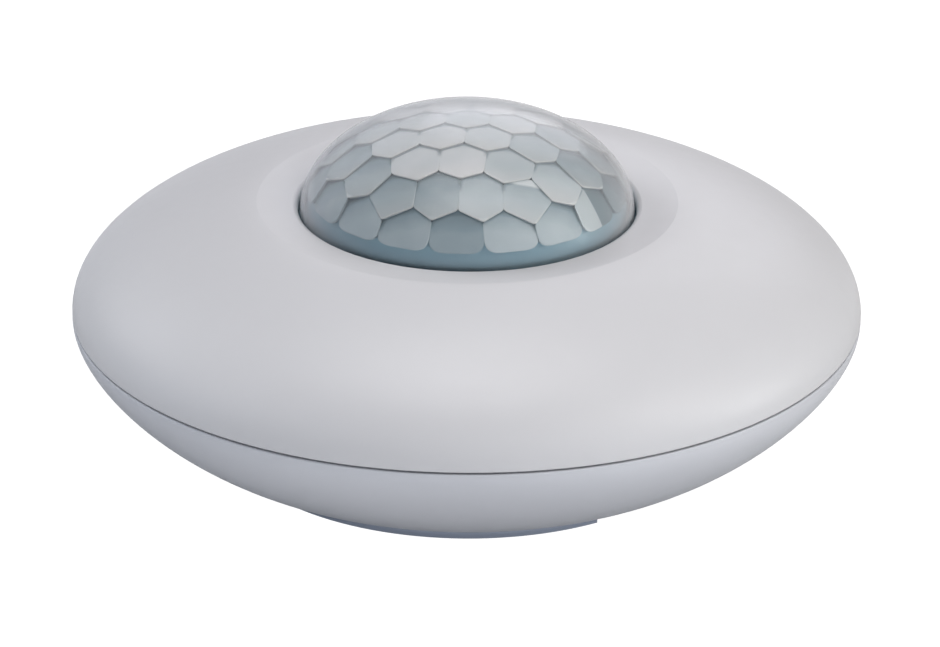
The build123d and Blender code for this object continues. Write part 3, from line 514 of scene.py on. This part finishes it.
# ---------------------------------------------------------------- the lens
FACET_R = LENS_R - FACET_DEPTH
FACET_RISE = LENS_RISE - CROWN_DEPTH
FACET_TURN = 26.2  # azimuth of the pattern's first spoke, from the front towards +X
RINGS = [  # facets in the ring, azimuth of the first, plan radius, plan radius of each corner facet
    (1, 0.0, 0.0, 0.0),
    (6, 0.0, 6.5, 6.5),
    (12, 0.0, 11.85, 13.7),
    (18, 0.0, 18.35, 19.6),
    (18, 10.0, 23.1, 23.1),
]
HEX_CORNERS = 6
LAST_RING = len(RINGS) - 1
SCALLOP = 2.2  # from the centre of a facet in the last ring down to its lower edge
BULGE = 0.16  # how far a facet's middle stands over its edge
TOP_RECESS = (0.26, 0.30, 0.36, 0.44, 0.62)  # how far a facet's upper edge is sunk, ring by ring
LIP = 0.05  # how far a facet's lower edge stands out
RECESS_POWER = 1.5  # how fast that sinking fades towards the lower edge
CORNER_CUT = 0.5  # rounding of a facet's corners
SCALLOP_CUT = 2.6  # and of the lower corners in the last ring
SCALLOP_BAND = 0.1  # a corner this near the lowest one is a lower corner
MAX_CUT = 0.45  # most of an edge that the rounding of one corner may take
TILE_T = 0.75
TILE_TAPER = 0.93  # size of a tile's underside, as a share of its face
REACH = 12.0  # facets further apart than this never touch
FRONT_LEAN = (1.0, 1.0, 0.85, 0.7, 0.5)  # how far each ring's facets lean to the front, not outward
LEAN_HOLD = 1.4  # above 1, so that the full lean holds over about the front half
ROWS = (1.0, 0.985, 0.96, 0.91, 0.82, 0.68, 0.5, 0.3, 0.12)  # rows of points, as shares of the outline
EDGE_DROP = (0.10, 0.03)  # how far the outer rows are rounded down at the lower edge


def on_facet_dome(radius, azimuth):
    angle = math.radians(azimuth)
    height = LENS_BASE_Z + FACET_RISE * math.sqrt(max(0.0, 1 - (radius / FACET_R) ** 2))
    return Vector((radius * math.sin(angle), -radius * math.cos(angle), height))


def facet_centres():
    """(ring, number in the ring, centre) of every facet."""
    centres = []
    for ring, (count, first, radius, corner_radius) in enumerate(RINGS):
        corner_step = max(1, count // HEX_CORNERS)
        for k in range(count):
            at_corner = first == 0 and k % corner_step == 0
            azimuth = FACET_TURN + first + 360 * k / count
            centres.append((ring, k, on_facet_dome(corner_radius if at_corner else radius, azimuth)))
    return centres


def dome_normal(point):
    flat, upright = FACET_R**2, FACET_RISE**2
    return Vector((point.x / flat, point.y / flat, (point.z - LENS_BASE_Z) / upright)).normalized()


def clip(polygon, point, normal):
    """The part of a flat polygon behind a plane."""
    kept = []
    for a, b in zip(polygon, polygon[1:] + polygon[:1]):
        side_a, side_b = (a - point).dot(normal), (b - point).dot(normal)
        if side_a <= 0:
            kept.append(a)
        if side_a * side_b < 0:
            kept.append(a.lerp(b, side_a / (side_a - side_b)))
    return kept


def rounded(polygon, cuts, arc_steps=6, edge_steps=5):
    """The polygon with each corner rounded by its own cut, and its edges divided."""
    outline = []
    count = len(polygon)
    for k, corner in enumerate(polygon):
        before, after = polygon[k - 1], polygon[(k + 1) % count]
        start = corner.lerp(before, min(MAX_CUT, cuts[k] / (corner - before).length))
        end = corner.lerp(after, min(MAX_CUT, cuts[k] / (corner - after).length))
        for i in range(arc_steps + 1):
            t = i / arc_steps
            outline.append(start.lerp(corner, t).lerp(corner.lerp(end, t), t))
        next_start = after.lerp(corner, min(MAX_CUT, cuts[(k + 1) % count] / (corner - after).length))
        outline += [end.lerp(next_start, i / edge_steps) for i in range(1, edge_steps)]
    return outline


def leaning(normal, along, ring):
    """The way a facet overlaps its neighbours: outward and down, turned towards the front."""
    front = Vector((0, -1, 0))
    front = (front - normal * front.dot(normal)).normalized()
    if ring == 0:
        return front
    away = math.atan2(abs(normal.x), -normal.y)
    share = FRONT_LEAN[ring] * min(1.0, LEAN_HOLD * math.cos(away / 2))
    return along.lerp(front, share).normalized()


class Facets:
    """All facets as closed tiles, with what the material needs stored on their points."""

    def __init__(self):
        self.points = []
        self.faces = []
        self.down = []  # 0 at a facet's upper edge, 1 at its lower edge
        self.rim = []  # 0 at its middle, 1 at its outline
        self.tone = []
        self.ring = []
        self.side = []  # millimetres from its centre line, to the right as seen from outside
        self.glint = []

    def add(self, centre, polygon, down, lean, ring, tone, glint):
        normal = dome_normal(centre)
        across = Vector((0, 0, 1)).cross(normal).normalized()
        recess = TOP_RECESS[ring]
        lowest = max((p - centre).dot(down) for p in polygon)
        cuts = [CORNER_CUT] * len(polygon)
        if ring == LAST_RING:
            lower = [(p - centre).dot(down) > lowest - SCALLOP_BAND for p in polygon]
            cuts = [SCALLOP_CUT if is_lower else CORNER_CUT for is_lower in lower]
        outline = rounded(polygon, cuts)
        middle = sum(outline, Vector()) / len(outline)
        runs = [(p - middle).dot(lean) for p in outline]
        low, high = min(runs), max(runs)
        span = max(high - low, 1.0)
        first = len(self.points)
        count = len(outline)

        def store_on_face(q, t, scale, drop):
            """A point of the face, raised or sunk by where it lies on it."""
            rise = BULGE * (1 - scale**2) - recess * (1 - t) ** RECESS_POWER + LIP * t - drop * t**2
            self.store(q + normal * rise, t, scale)

        for row, scale in enumerate(ROWS):
            drop = EDGE_DROP[row] if row < len(EDGE_DROP) else 0.0
            for p in outline:
                q = middle.lerp(p, scale)
                store_on_face(q, ((q - middle).dot(lean) - low) / span, scale, drop)
        hub = len(self.points)
        store_on_face(middle, -low / span, 0.0, 0.0)
        base = hub + 1
        for p in outline:
            self.store(middle.lerp(p, TILE_TAPER) - normal * TILE_T, 0.0, 1.0)

        added = len(self.points) - first
        self.side += [(p - centre).dot(across) for p in self.points[first:]]
        self.tone += [tone] * added
        self.ring += [ring] * added
        self.glint += [glint] * added

        for row in range(len(ROWS) - 1):
            for k in range(count):
                near, far = first + row * count + k, first + row * count + (k + 1) % count
                self.faces.append([near, far, far + count, near + count])
        inner = first + (len(ROWS) - 1) * count
        for k in range(count):
            far = (k + 1) % count
            self.faces.append([inner + k, inner + far, hub])
            self.faces.append([base + k, base + far, first + far, first + k])
        self.faces.append([base + k for k in range(count)][::-1])

    def store(self, point, down, rim):
        self.points.append(point)
        self.down.append(down)
        self.rim.append(rim)


# how milky the facets of each ring look, from 0 for deep teal to 1 for pale, and the few that differ;
# painted light and shade: darker facets stand in for the shaded inside seen through the lens, paler ones
# for the glancing veil and the lamps seen in them
RING_TONES = (0.60, 0.72, 0.60, 0.46, 0.26)
TONES = {
    (1, 1): 0.66, (1, 2): 0.76, (1, 3): 0.84, (1, 5): 0.78,
    (2, 0): 0.61, (2, 1): 0.46, (2, 2): 0.28, (2, 3): 0.70, (2, 7): 0.84,
    (2, 8): 0.62, (2, 9): 0.76, (2, 10): 0.80, (2, 11): 0.84,
    (3, 0): 0.57, (3, 1): 0.66, (3, 2): 0.30, (3, 3): 0.22, (3, 4): 0.44,
    (3, 12): 0.57, (3, 13): 0.49, (3, 14): 0.47, (3, 15): 0.46, (3, 16): 0.38, (3, 17): 0.56,
    (4, 0): 0.47, (4, 1): 0.45, (4, 2): 0.14, (4, 12): 0.50, (4, 13): 0.46, (4, 14): 0.50,
    (4, 15): 0.46, (4, 16): 0.32, (4, 17): 0.55,
}
TONE_SPREAD = 0.06
TONE_SEED = 7
PANE = 1.0  # a facet with a painted reflection: a bright left half and a dark right half
SLIVER = 0.5  # a facet with a bright painted glint along the right part of its upper edge
GLINTS = {(4, 1): PANE, (3, 0): SLIVER}
MILK = (  # colours of the lens plastic, by how milky it is
    (0.0, (0.105, 0.155, 0.180)),
    (0.3, (0.230, 0.300, 0.330)),
    (0.6, (0.440, 0.500, 0.520)),
    (0.9, (0.640, 0.660, 0.670)),
    (1.0, (0.700, 0.735, 0.760)),
)
# colours of the painted reflection, glint, highlights and groove shadow on the facets
PANE_DARK = (0.120, 0.175, 0.195)
PANE_REFLECTION = (0.55, 0.595, 0.60)
SLIVER_GLINT = (0.64, 0.68, 0.685)
WARM_HIGHLIGHT = (0.64, 0.59, 0.53)
GROOVE_SHADOW = (0.085, 0.135, 0.155)
LIP_HIGHLIGHT = (0.66, 0.64, 0.61)


def facet_material():
    """Milky lens plastic over a dark inside, its colours painted with light and shade: teal where a facet
    stands in shade, pale where it catches light.
    """
    look = Look("lens_facets", roughness=0.32, Specular_IOR_Level=0.4)
    down, rim, ring = look.attribute("down"), look.attribute("rim"), look.attribute("ring")
    side, glint = look.attribute("side"), look.attribute("glint")
    outer_rings = look.span(ring, 2.0, 3.0)
    lipped = look.span(ring, 3.5, 3.6, 1.0, 0.0)  # every ring but the last

    # painted shadow: darker along the upper edge under the facet above, and over more of the facet in the
    # outer rings; a little lighter towards the lower edge
    sunk = look.math("MULTIPLY", look.span(down, 0.0, 0.55, -0.24, 0.0), outer_rings)
    shadow = look.math("ADD", look.span(down, 0.0, 0.16, -0.32, 0.0), sunk)
    shadow = look.math("ADD", shadow, look.math("MULTIPLY", down, 0.06))
    depth = look.math("ADD", look.attribute("tone"), shadow)
    depth = look.math("ADD", depth, look.varied(look.noise(5.0), -0.04, 0.04))
    milk = look.ramp(depth, *MILK)

    # the pane: a painted reflection, bright on the facet's left half and dark on its right
    is_pane = look.span(glint, 0.75, 0.8)
    dark_half = look.math("MULTIPLY", is_pane, look.span(side, 0.0, 0.3, 0.0, 0.85))
    bright_half = look.math("MULTIPLY", is_pane, look.span(side, 0.12, -0.04, 0.0, 0.62))
    milk = look.mix(dark_half, milk, PANE_DARK)
    milk = look.mix(bright_half, milk, PANE_REFLECTION)

    # painted light and shade: a warm painted highlight on the lower part, a painted shadow in the groove
    # round the upper edge and a pale painted highlight on the lip along the lower one
    warm_highlight = look.math("MULTIPLY", look.span(down, 0.55, 0.95), lipped)
    groove_shadow = look.math("MULTIPLY", look.span(rim, 0.84, 0.96), look.span(down, 0.42, 0.26))
    lip_highlight = look.math("MULTIPLY", look.span(rim, 0.92, 0.975), look.span(down, 0.6, 0.9))
    lip_highlight = look.math("MULTIPLY", lip_highlight, lipped)
    milk = look.mix(look.math("MULTIPLY", warm_highlight, 0.22), milk, WARM_HIGHLIGHT)
    milk = look.mix(look.math("MULTIPLY", groove_shadow, 0.75), milk, GROOVE_SHADOW)
    milk = look.mix(look.math("MULTIPLY", lip_highlight, 0.4), milk, LIP_HIGHLIGHT)

    # the sliver: a painted glint along the upper edge
    is_sliver = look.math("MULTIPLY", look.span(glint, 0.25, 0.3), look.span(glint, 0.75, 0.7))
    sliver_glint = look.math("MULTIPLY", look.span(down, 0.20, 0.14), look.span(side, -2.6, -0.5))
    milk = look.mix(look.math("MULTIPLY", is_sliver, sliver_glint), milk, SLIVER_GLINT)
    return look.shade(Base_Color=milk, Normal=look.bump(look.noise(1.2), 0.01))


WALL_CLIMB = (1.0, 5.0)  # heights over the lens base between which the wall changes colour
WALL_TEALS = (
    (0.0, (0.190, 0.300, 0.355)),
    (0.5, (0.205, 0.335, 0.395)),
    (1.0, (0.160, 0.260, 0.310)),
)
WALL_HAZE = (0.40, 0.45, 0.47)


def backing_material():
    """The smooth inner wall seen below and between the facets."""
    look = Look("lens_wall", roughness=0.35)
    low, high = [(LENS_BASE_Z + height) * MM for height in WALL_CLIMB]
    teal = look.ramp(look.span(look.axis("Z"), low, high), *WALL_TEALS)
    haze = look.varied(look.noise(6.0), 0.0, 0.08)
    return look.shade(Base_Color=look.mix(haze, teal, WALL_HAZE), Normal=look.bump(look.noise(1.5), 0.01))


CROWN_SHEEN_HEIGHT = 7.0  # the skin's tint pales over this much of its top: a painted sheen
SKIN_GREYS = ((0.56, 0.56, 0.575), (0.76, 0.77, 0.79))
SKIN_HAZE = (0.60, 0.61, 0.63)
SKIN_ALPHA = (0.04, 0.93)  # looked at squarely, and at a grazing angle
SKIN_POWER = 2.5


def skin_material():
    """The smooth outer skin: nearly clear, faintly milky, with a soft gloss and a painted sheen that
    pales it towards its top.
    """
    look = Look("lens_skin", roughness=0.16, Specular_IOR_Level=0.5)
    # painted sheen: paler towards the top
    crown_sheen = look.span(look.axis("Z"), (LENS_TOP_Z - CROWN_SHEEN_HEIGHT) * MM, LENS_TOP_Z * MM)
    veil = look.mix(look.varied(look.noise(9.0), 0.0, 0.1), look.mix(crown_sheen, *SKIN_GREYS), SKIN_HAZE)
    edge = look.tree.nodes.new("ShaderNodeLayerWeight")
    edge.inputs["Blend"].default_value = 0.5
    alpha = look.span(look.math("POWER", edge.outputs["Facing"], SKIN_POWER), 0.0, 1.0, *SKIN_ALPHA)
    return look.shade(Base_Color=veil, Alpha=alpha, Normal=look.bump(look.noise(3.0), 0.004))


def lens_tiles():
    """Every facet, cut from a flat square by planes half way to its neighbours."""
    facets = Facets()
    centres = facet_centres()
    spread = random.Random(TONE_SEED)
    for ring, number, centre in centres:
        normal = dome_normal(centre)
        across = normal.cross(Vector((0, 0, 1))).normalized() if ring else Vector((1, 0, 0))
        along = normal.cross(across)
        down = along if ring else Vector()
        lean = leaning(normal, along, ring)
        corners = ((-1, -1), (1, -1), (1, 1), (-1, 1))
        outline = [centre + (across * i + along * j) * REACH for i, j in corners]
        for other_ring, other_number, other in centres:
            if (other_ring, other_number) != (ring, number) and (other - centre).length < REACH:
                outline = clip(outline, (centre + other) / 2, (other - centre).normalized())
        if ring == LAST_RING:
            outline = clip(outline, centre + down * SCALLOP, down)
        if (outline[1] - outline[0]).cross(outline[2] - outline[1]).dot(normal) < 0:
            outline = outline[::-1]
        tone = TONES.get((ring, number), RING_TONES[ring] + spread.uniform(-TONE_SPREAD, TONE_SPREAD))
        facets.add(centre, outline, down, lean, ring, tone, GLINTS.get((ring, number), 0.0))
    return facets


facets = lens_tiles()
lens_facets = mesh_piece("lens_facets", facets.points, facets.faces, facet_material(), LENS_SHARP)
for name in ("down", "rim", "tone", "ring", "side", "glint"):
    layer = lens_facets.data.attributes.new(name, "FLOAT", "POINT")
    layer.data.foreach_set("value", getattr(facets, name))

AXIS_R = 0.02  # the turned shells stop just short of the axis
BACKING_R = LENS_R - BACKING_DEPTH + BACKING_FLARE
BACKING_RISE = LENS_RISE - BACKING_DEPTH
BACKING_TOP_Z = LENS_BASE_Z + BACKING_RISE
WALL_T = 0.7
FLANGE_CUT = 0.15  # chamfers on the flange's rim
FOOT_CUT = 0.25  # chamfer where the wall meets the flange
outer = ellipse_arc(BACKING_R, BACKING_RISE, 60)
inner = ellipse_arc(BACKING_R - WALL_T, BACKING_RISE - WALL_T, 60)
flange = [
    (FLANGE_R - FLANGE_CUT, FLANGE_BOTTOM_Z),
    (FLANGE_R, FLANGE_BOTTOM_Z + FLANGE_CUT),
    (FLANGE_R, FLANGE_TOP_Z - FLANGE_CUT),
    (FLANGE_R - FLANGE_CUT, FLANGE_TOP_Z),
]
backing = Solids()
backing.ring(
    [(BACKING_R, FLANGE_TOP_Z + FOOT_CUT), *outer, (AXIS_R, BACKING_TOP_Z)]
    + [(AXIS_R, BACKING_TOP_Z - WALL_T), *inner[::-1], (BACKING_R - WALL_T, FLANGE_BOTTOM_Z)]
    + [*flange, (BACKING_R + FOOT_CUT, FLANGE_TOP_Z)]
)
lens_wall = backing.piece("lens_wall", backing_material(), LENS_SHARP)

SKIN_BOTTOM_Z = FLANGE_TOP_Z + 0.01  # just clear of the flange
outer = ellipse_arc(LENS_R, LENS_RISE, 72)
inner = ellipse_arc(LENS_R - SKIN_T, LENS_RISE - SKIN_T, 72)
shell = Solids()
shell.ring(
    [(LENS_R, SKIN_BOTTOM_Z), *outer, (AXIS_R, LENS_TOP_Z)]
    + [(AXIS_R, LENS_TOP_Z - SKIN_T), *inner[::-1], (LENS_R - SKIN_T, SKIN_BOTTOM_Z)]
)
lens_skin = shell.piece("lens_skin", skin_material(), LENS_SHARP)

for piece in (lens_facets, lens_wall, lens_skin):
    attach(piece, "cover")
    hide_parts("lens")


# ---------------------------------------------------------------- solder, tracks and small chips
def solder_material():
    look = Look("solder", metallic=1.0)
    frost = look.noise(0.35, 4.0)
    return look.shade(
        Base_Color=look.mix(frost, (0.56, 0.57, 0.58), (0.78, 0.79, 0.80)),
        Roughness=look.varied(frost, 0.16, 0.34),
        Normal=look.bump(frost, 0.01),
    )


def track_material():
    look = Look("tracks", roughness=0.3, Coat_Weight=0.3, Coat_Roughness=0.12)
    tint = look.mix(look.noise(0.7, 3.0), (0.020, 0.170, 0.075), (0.030, 0.210, 0.095))
    return look.shade(Base_Color=tint, Normal=look.bump(look.noise(0.3), 0.006))


SOLDER = solder_material()
TRACKS = track_material()
FILLET = [(0.85, 0.0), (0.78, 0.12), (0.55, 0.30), (0.42, 0.62), (0.36, 0.85)]
LAND = [(3.2, 0.0), (3.2, 0.035), (1.3, 0.035)]  # the tinned ring round a spacer screw
TRACK_LOW_Z = BOARD_TOP_Z - 0.02
TRACK_TOP_Z = BOARD_TOP_Z + 0.04
PAD_T = 0.07
PAD_SHARE = 0.75  # a pad's radius, as a share of its track's width
BEND = 1.2  # cut across each corner of a track
MITRE_LIMIT = 0.5  # at a sharp bend a mitre stops at twice the track's half width


def track(solids, points, width):
    """A copper track: one strip along straight runs, mitred at its bends."""
    left, right = [], []
    corners = [Vector(p) for p in points]
    for k, corner in enumerate(corners):
        before = (corner - corners[k - 1]).normalized() if k else None
        after = (corners[k + 1] - corner).normalized() if k + 1 < len(corners) else None
        onward = after or before
        along = (before or after) + onward
        along.normalize()
        side = Vector((-along.y, along.x))
        half = width / 2 / max(MITRE_LIMIT, side.dot(Vector((-onward.y, onward.x))))
        left.append(corner + side * half)
        right.append(corner - side * half)
    for k in range(len(corners) - 1):
        solids.prism([right[k], right[k + 1], left[k + 1], left[k]], TRACK_LOW_Z, TRACK_TOP_Z)


def cornered(tracks, width, *points):
    """A track along upright and level runs, with its corners cut, ending in a round pad."""
    corners = [Vector(p) for p in points]
    path = [corners[0]]
    for before, corner, after in zip(corners, corners[1:], corners[2:]):
        path.append(corner + (before - corner).normalized() * BEND)
        path.append(corner + (after - corner).normalized() * BEND)
    path.append(corners[-1])
    track(tracks, path, width)
    pad = PAD_SHARE * width
    tracks.lathe([(pad, 0.0), (pad, PAD_T)], (*corners[-1], TRACK_LOW_Z), 20)


SWITCH_COUNT = 4
SWITCH_PITCH = 2.54
# where each group of tracks starts
TERMINAL_Y = -29.6
SWITCH_X, SWITCH_Y = -30.8, 3.0
LINK_Y = 13.5
TRIMMER_X = 32.2
TRIMMER_PINS = (-6.5, -1.5, 4.5, 9.5)
# where it runs: its first lane, and the step to the next
TERMINAL_LANES_Y = (-24.0, 1.1)
TERMINAL_LANES_X = (-23.5, 1.0)
SWITCH_LANES_X = (-25.6, -1.0)
LINK_LANES_Y = (16.6, 0.9)
TRIMMER_LANES_X = (26.0, -0.4)
TRIMMER_SHIFT = 4.0
# and where it ends
TERMINAL_END_Y = 12.2
SWITCH_END_Y = 12.6
LINK_END_X = 18.2
TRIMMER_END_X = 18.0


def lane(lanes, k):
    first, step = lanes
    return first + step * k


def board_tracks():
    """Tracks in nested lanes, clear of the cable hole.

    Those of the terminals and the selector go to the chip, the link header's go out to both
    sides, and the trimmers' go in towards the middle.
    """
    tracks = Solids()
    for k in range(TERMINAL_COUNT):
        x = (k - (TERMINAL_COUNT - 1) / 2) * TERMINAL_PITCH
        lane_x, lane_y = lane(TERMINAL_LANES_X, k), lane(TERMINAL_LANES_Y, k)
        cornered(tracks, 0.6, (x, TERMINAL_Y), (x, lane_y), (lane_x, lane_y), (lane_x, TERMINAL_END_Y))
    for k in range(SWITCH_COUNT):
        y = SWITCH_Y + (k - (SWITCH_COUNT - 1) / 2) * SWITCH_PITCH
        lane_x = lane(SWITCH_LANES_X, k)
        cornered(tracks, 0.4, (SWITCH_X, y), (lane_x, y), (lane_x, SWITCH_END_Y))
    half = LINK_COUNT // 2
    for k in range(half):
        x = (half - k - 0.5) * LINK_PITCH
        lane_y = lane(LINK_LANES_Y, k)
        for side in (-1, 1):
            cornered(tracks, 0.4, (side * x, LINK_Y), (side * x, lane_y), (side * LINK_END_X, lane_y))
    for y in TRIMMER_PINS:
        lane_x, end_y = lane(TRIMMER_LANES_X, y), y - TRIMMER_SHIFT
        cornered(tracks, 0.5, (TRIMMER_X, y), (lane_x, y), (lane_x, end_y), (TRIMMER_END_X, end_y))
    return tracks.piece("board_tracks", TRACKS)


LINK_ROW_Y = 12.0
SPACER_R = 18.0
SPACER_ANGLES = (45, 135, 225, 315)


def solder_joints():
    """Fillets round the pins on top of the sensor board, and lands under its screws."""
    joints = Solids()
    height = SENSOR_TOP_Z - 0.01
    for k in range(LINK_COUNT):
        x = (k - (LINK_COUNT - 1) / 2) * LINK_PITCH
        joints.lathe(FILLET, (x, LINK_ROW_Y, height), 24)
    for angle in SPACER_ANGLES:
        joints.lathe(LAND, (*polar(SPACER_R, angle), height), 48)
    return joints.piece("sensor_solder", SOLDER, SOLDER_SHARP)


def islands(node):
    """Boxes of the separate solids in a node, in millimetres."""
    mesh = nodes[node].data
    owner = list(range(len(mesh.vertices)))

    def root(i):
        while owner[i] != i:
            owner[i] = owner[owner[i]]
            i = owner[i]
        return i

    at = {}
    for vertex in mesh.vertices:
        key = tuple(round(c / MM, 3) for c in vertex.co)
        if key in at:
            owner[root(vertex.index)] = root(at[key])
        at[key] = vertex.index
    for edge in mesh.edges:
        owner[root(edge.vertices[0])] = root(edge.vertices[1])
    boxes = {}
    for vertex in mesh.vertices:
        co = vertex.co / MM
        low, high = boxes.setdefault(root(vertex.index), (co.copy(), co.copy()))
        for i in range(3):
            low[i] = min(low[i], co[i])
            high[i] = max(high[i], co[i])
    return sorted(boxes.values(), key=lambda b: tuple(b[0]))


def ceramic_material():
    """Brown or dark ceramic, by where the chip is on the board."""
    look = Look("chip_ceramic", roughness=0.45)
    browns = ((0.40, (0.030, 0.030, 0.034)), (0.47, (0.24, 0.16, 0.095)), (0.6, (0.36, 0.27, 0.18)))
    tint = look.ramp(look.noise(7.0, 1.0), *browns)
    return look.shade(Base_Color=tint, Normal=look.bump(look.noise(0.15, 3.0), 0.01))


CAP_SHARE = 0.2  # length of a chip's tinned end, as a share of the whole chip
BODY_DROP = 0.03  # how far the top of its body lies under its ends
BODY_EDGE, CAP_EDGE = 0.04, 0.08  # chamfers


def small_chips():
    """Ceramic chips with tinned ends, in place of the plain blocks of the CAD node."""
    bodies, ends = Solids(), Solids()
    for low, high in islands("chip_components"):
        long_axis = 0 if high.x - low.x > high.y - low.y else 1
        cap = (high[long_axis] - low[long_axis]) * CAP_SHARE
        body_low, body_high = low.copy(), high.copy()
        body_low[long_axis] += cap
        body_high[long_axis] -= cap
        body_high.z -= BODY_DROP
        bodies.brick(body_low, body_high, BODY_EDGE)
        near_high, far_low = high.copy(), low.copy()
        near_high[long_axis] = low[long_axis] + cap
        far_low[long_axis] = high[long_axis] - cap
        ends.brick(low, near_high, CAP_EDGE)
        ends.brick(far_low, high, CAP_EDGE)
    return bodies.piece("chip_bodies", ceramic_material()), ends.piece("chip_ends", SOLDER)


for piece, slot in ((board_tracks(), "board_laminate"), (solder_joints(), "pin_metal")):
    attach(piece, "base")
for piece in small_chips():
    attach(piece, "base")
    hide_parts("chip_components")


# ---------------------------------------------------------------- floor, light and camera
FLOOR_HALF = 3000.0
WHITE_Z = -0.02  # just under the foot, whose underside is at 0
WHITE_GLOW = 1.05
BOUNCE_Z = -0.5
BOUNCE_GREY = (0.50, 0.50, 0.50)
SKY_COLOUR = (0.75, 0.82, 1.00, 1.0)
SKY_STRENGTH = 0.05
LIGHTS = [  # name, place in metres, size in metres, power in watts, colour
    ("key", (0.85, -0.30, 0.80), 0.7, 2.75, (1.0, 0.935, 0.88)),
    ("top", (0.0, 0.1, 1.3), 0.9, 8.6, (1.0, 0.985, 0.99)),
    ("back", (0.2, 1.0, 0.6), 0.8, 2.5, (0.92, 0.92, 1.0)),
    ("left_back", (-0.9, 0.6, 0.6), 0.6, 6.6, (0.95, 0.965, 1.0)),
    ("right_low", (1.1, -0.1, 0.25), 0.5, 2.8, (0.99, 1.0, 0.97)),
    ("right_fill", (1.1, -0.1, 0.25), 0.5, 2.4, (0.99, 1.0, 0.97)),
    ("left_low", (-1.2, 0.0, 0.2), 0.5, 2.0, (0.70, 0.83, 1.0)),
    ("front_low", (0.2, -1.2, 0.12), 0.5, 9.8, (0.92, 0.95, 1.0)),
]
FILLS = ("left_back", "right_fill", "left_low", "front_low")  # lights that leave no highlight
CAMERA_AIM = Vector((0.00053, 0.0, 0.018435))
CAMERA_AWAY = 0.8346
CAMERA_ELEVATION = 24.02
CAMERA_ROLL = 0.396
SENSOR_WIDTH = 36.0
FOCAL_LENGTH = 209.27
CLIP_START = 0.01


def floor_sheet(name, height, material):
    half = FLOOR_HALF
    corners = [(-half, -half, height), (half, -half, height), (half, half, height), (-half, half, height)]
    sheet = mesh_piece(name, corners, [[0, 1, 2, 3]], material)
    return sheet


def stage_floor():
    """A white floor that lights and mirrors nothing, and a grey one under it that throws light up."""
    white = Look("floor_white", Emission_Color=(1.0, 1.0, 1.0, 1.0), Emission_Strength=WHITE_GLOW)
    white.shade(Base_Color=(0.0, 0.0, 0.0))
    seen = floor_sheet("floor", WHITE_Z, white.material)
    seen.visible_diffuse = seen.visible_glossy = seen.visible_shadow = False
    grey = Look("floor_bounce", roughness=0.9)
    grey.shade(Base_Color=BOUNCE_GREY)
    floor_sheet("floor_bounce", BOUNCE_Z, grey.material).visible_camera = False


def area_light(name, place, size, power, colour):
    light = bpy.data.lights.new(name, "AREA")
    light.shape = "DISK"
    light.size = size
    light.energy = power
    light.color = colour
    lamp = bpy.data.objects.new(name, light)
    lamp.location = place
    lamp.rotation_euler = (CAMERA_AIM - Vector(place)).to_track_quat("-Z", "Y").to_euler()
    lamp.visible_glossy = name not in FILLS
    bpy.context.scene.collection.objects.link(lamp)


def studio():
    world = bpy.data.worlds.new("studio")
    world.use_nodes = True
    sky = world.node_tree.nodes["Background"]
    sky.inputs["Color"].default_value = SKY_COLOUR
    sky.inputs["Strength"].default_value = SKY_STRENGTH
    bpy.context.scene.world = world
    for light in LIGHTS:
        area_light(*light)
    bpy.context.scene.view_settings.view_transform = "Standard"


def camera():
    lens = bpy.data.cameras.new("camera")
    lens.sensor_width = SENSOR_WIDTH
    lens.lens = FOCAL_LENGTH
    lens.clip_start = CLIP_START
    view = bpy.data.objects.new("camera", lens)
    tilt = math.radians(CAMERA_ELEVATION)
    back = Vector((0, -math.cos(tilt), math.sin(tilt)))
    pitch = Matrix.Rotation(math.radians(90 - CAMERA_ELEVATION), 4, "X")
    roll = Matrix.Rotation(math.radians(CAMERA_ROLL), 4, "Z")
    view.matrix_world = Matrix.Translation(CAMERA_AIM + back * CAMERA_AWAY) @ pitch @ roll
    bpy.context.scene.collection.objects.link(view)
    bpy.context.scene.camera = view


stage_floor()
studio()
camera()
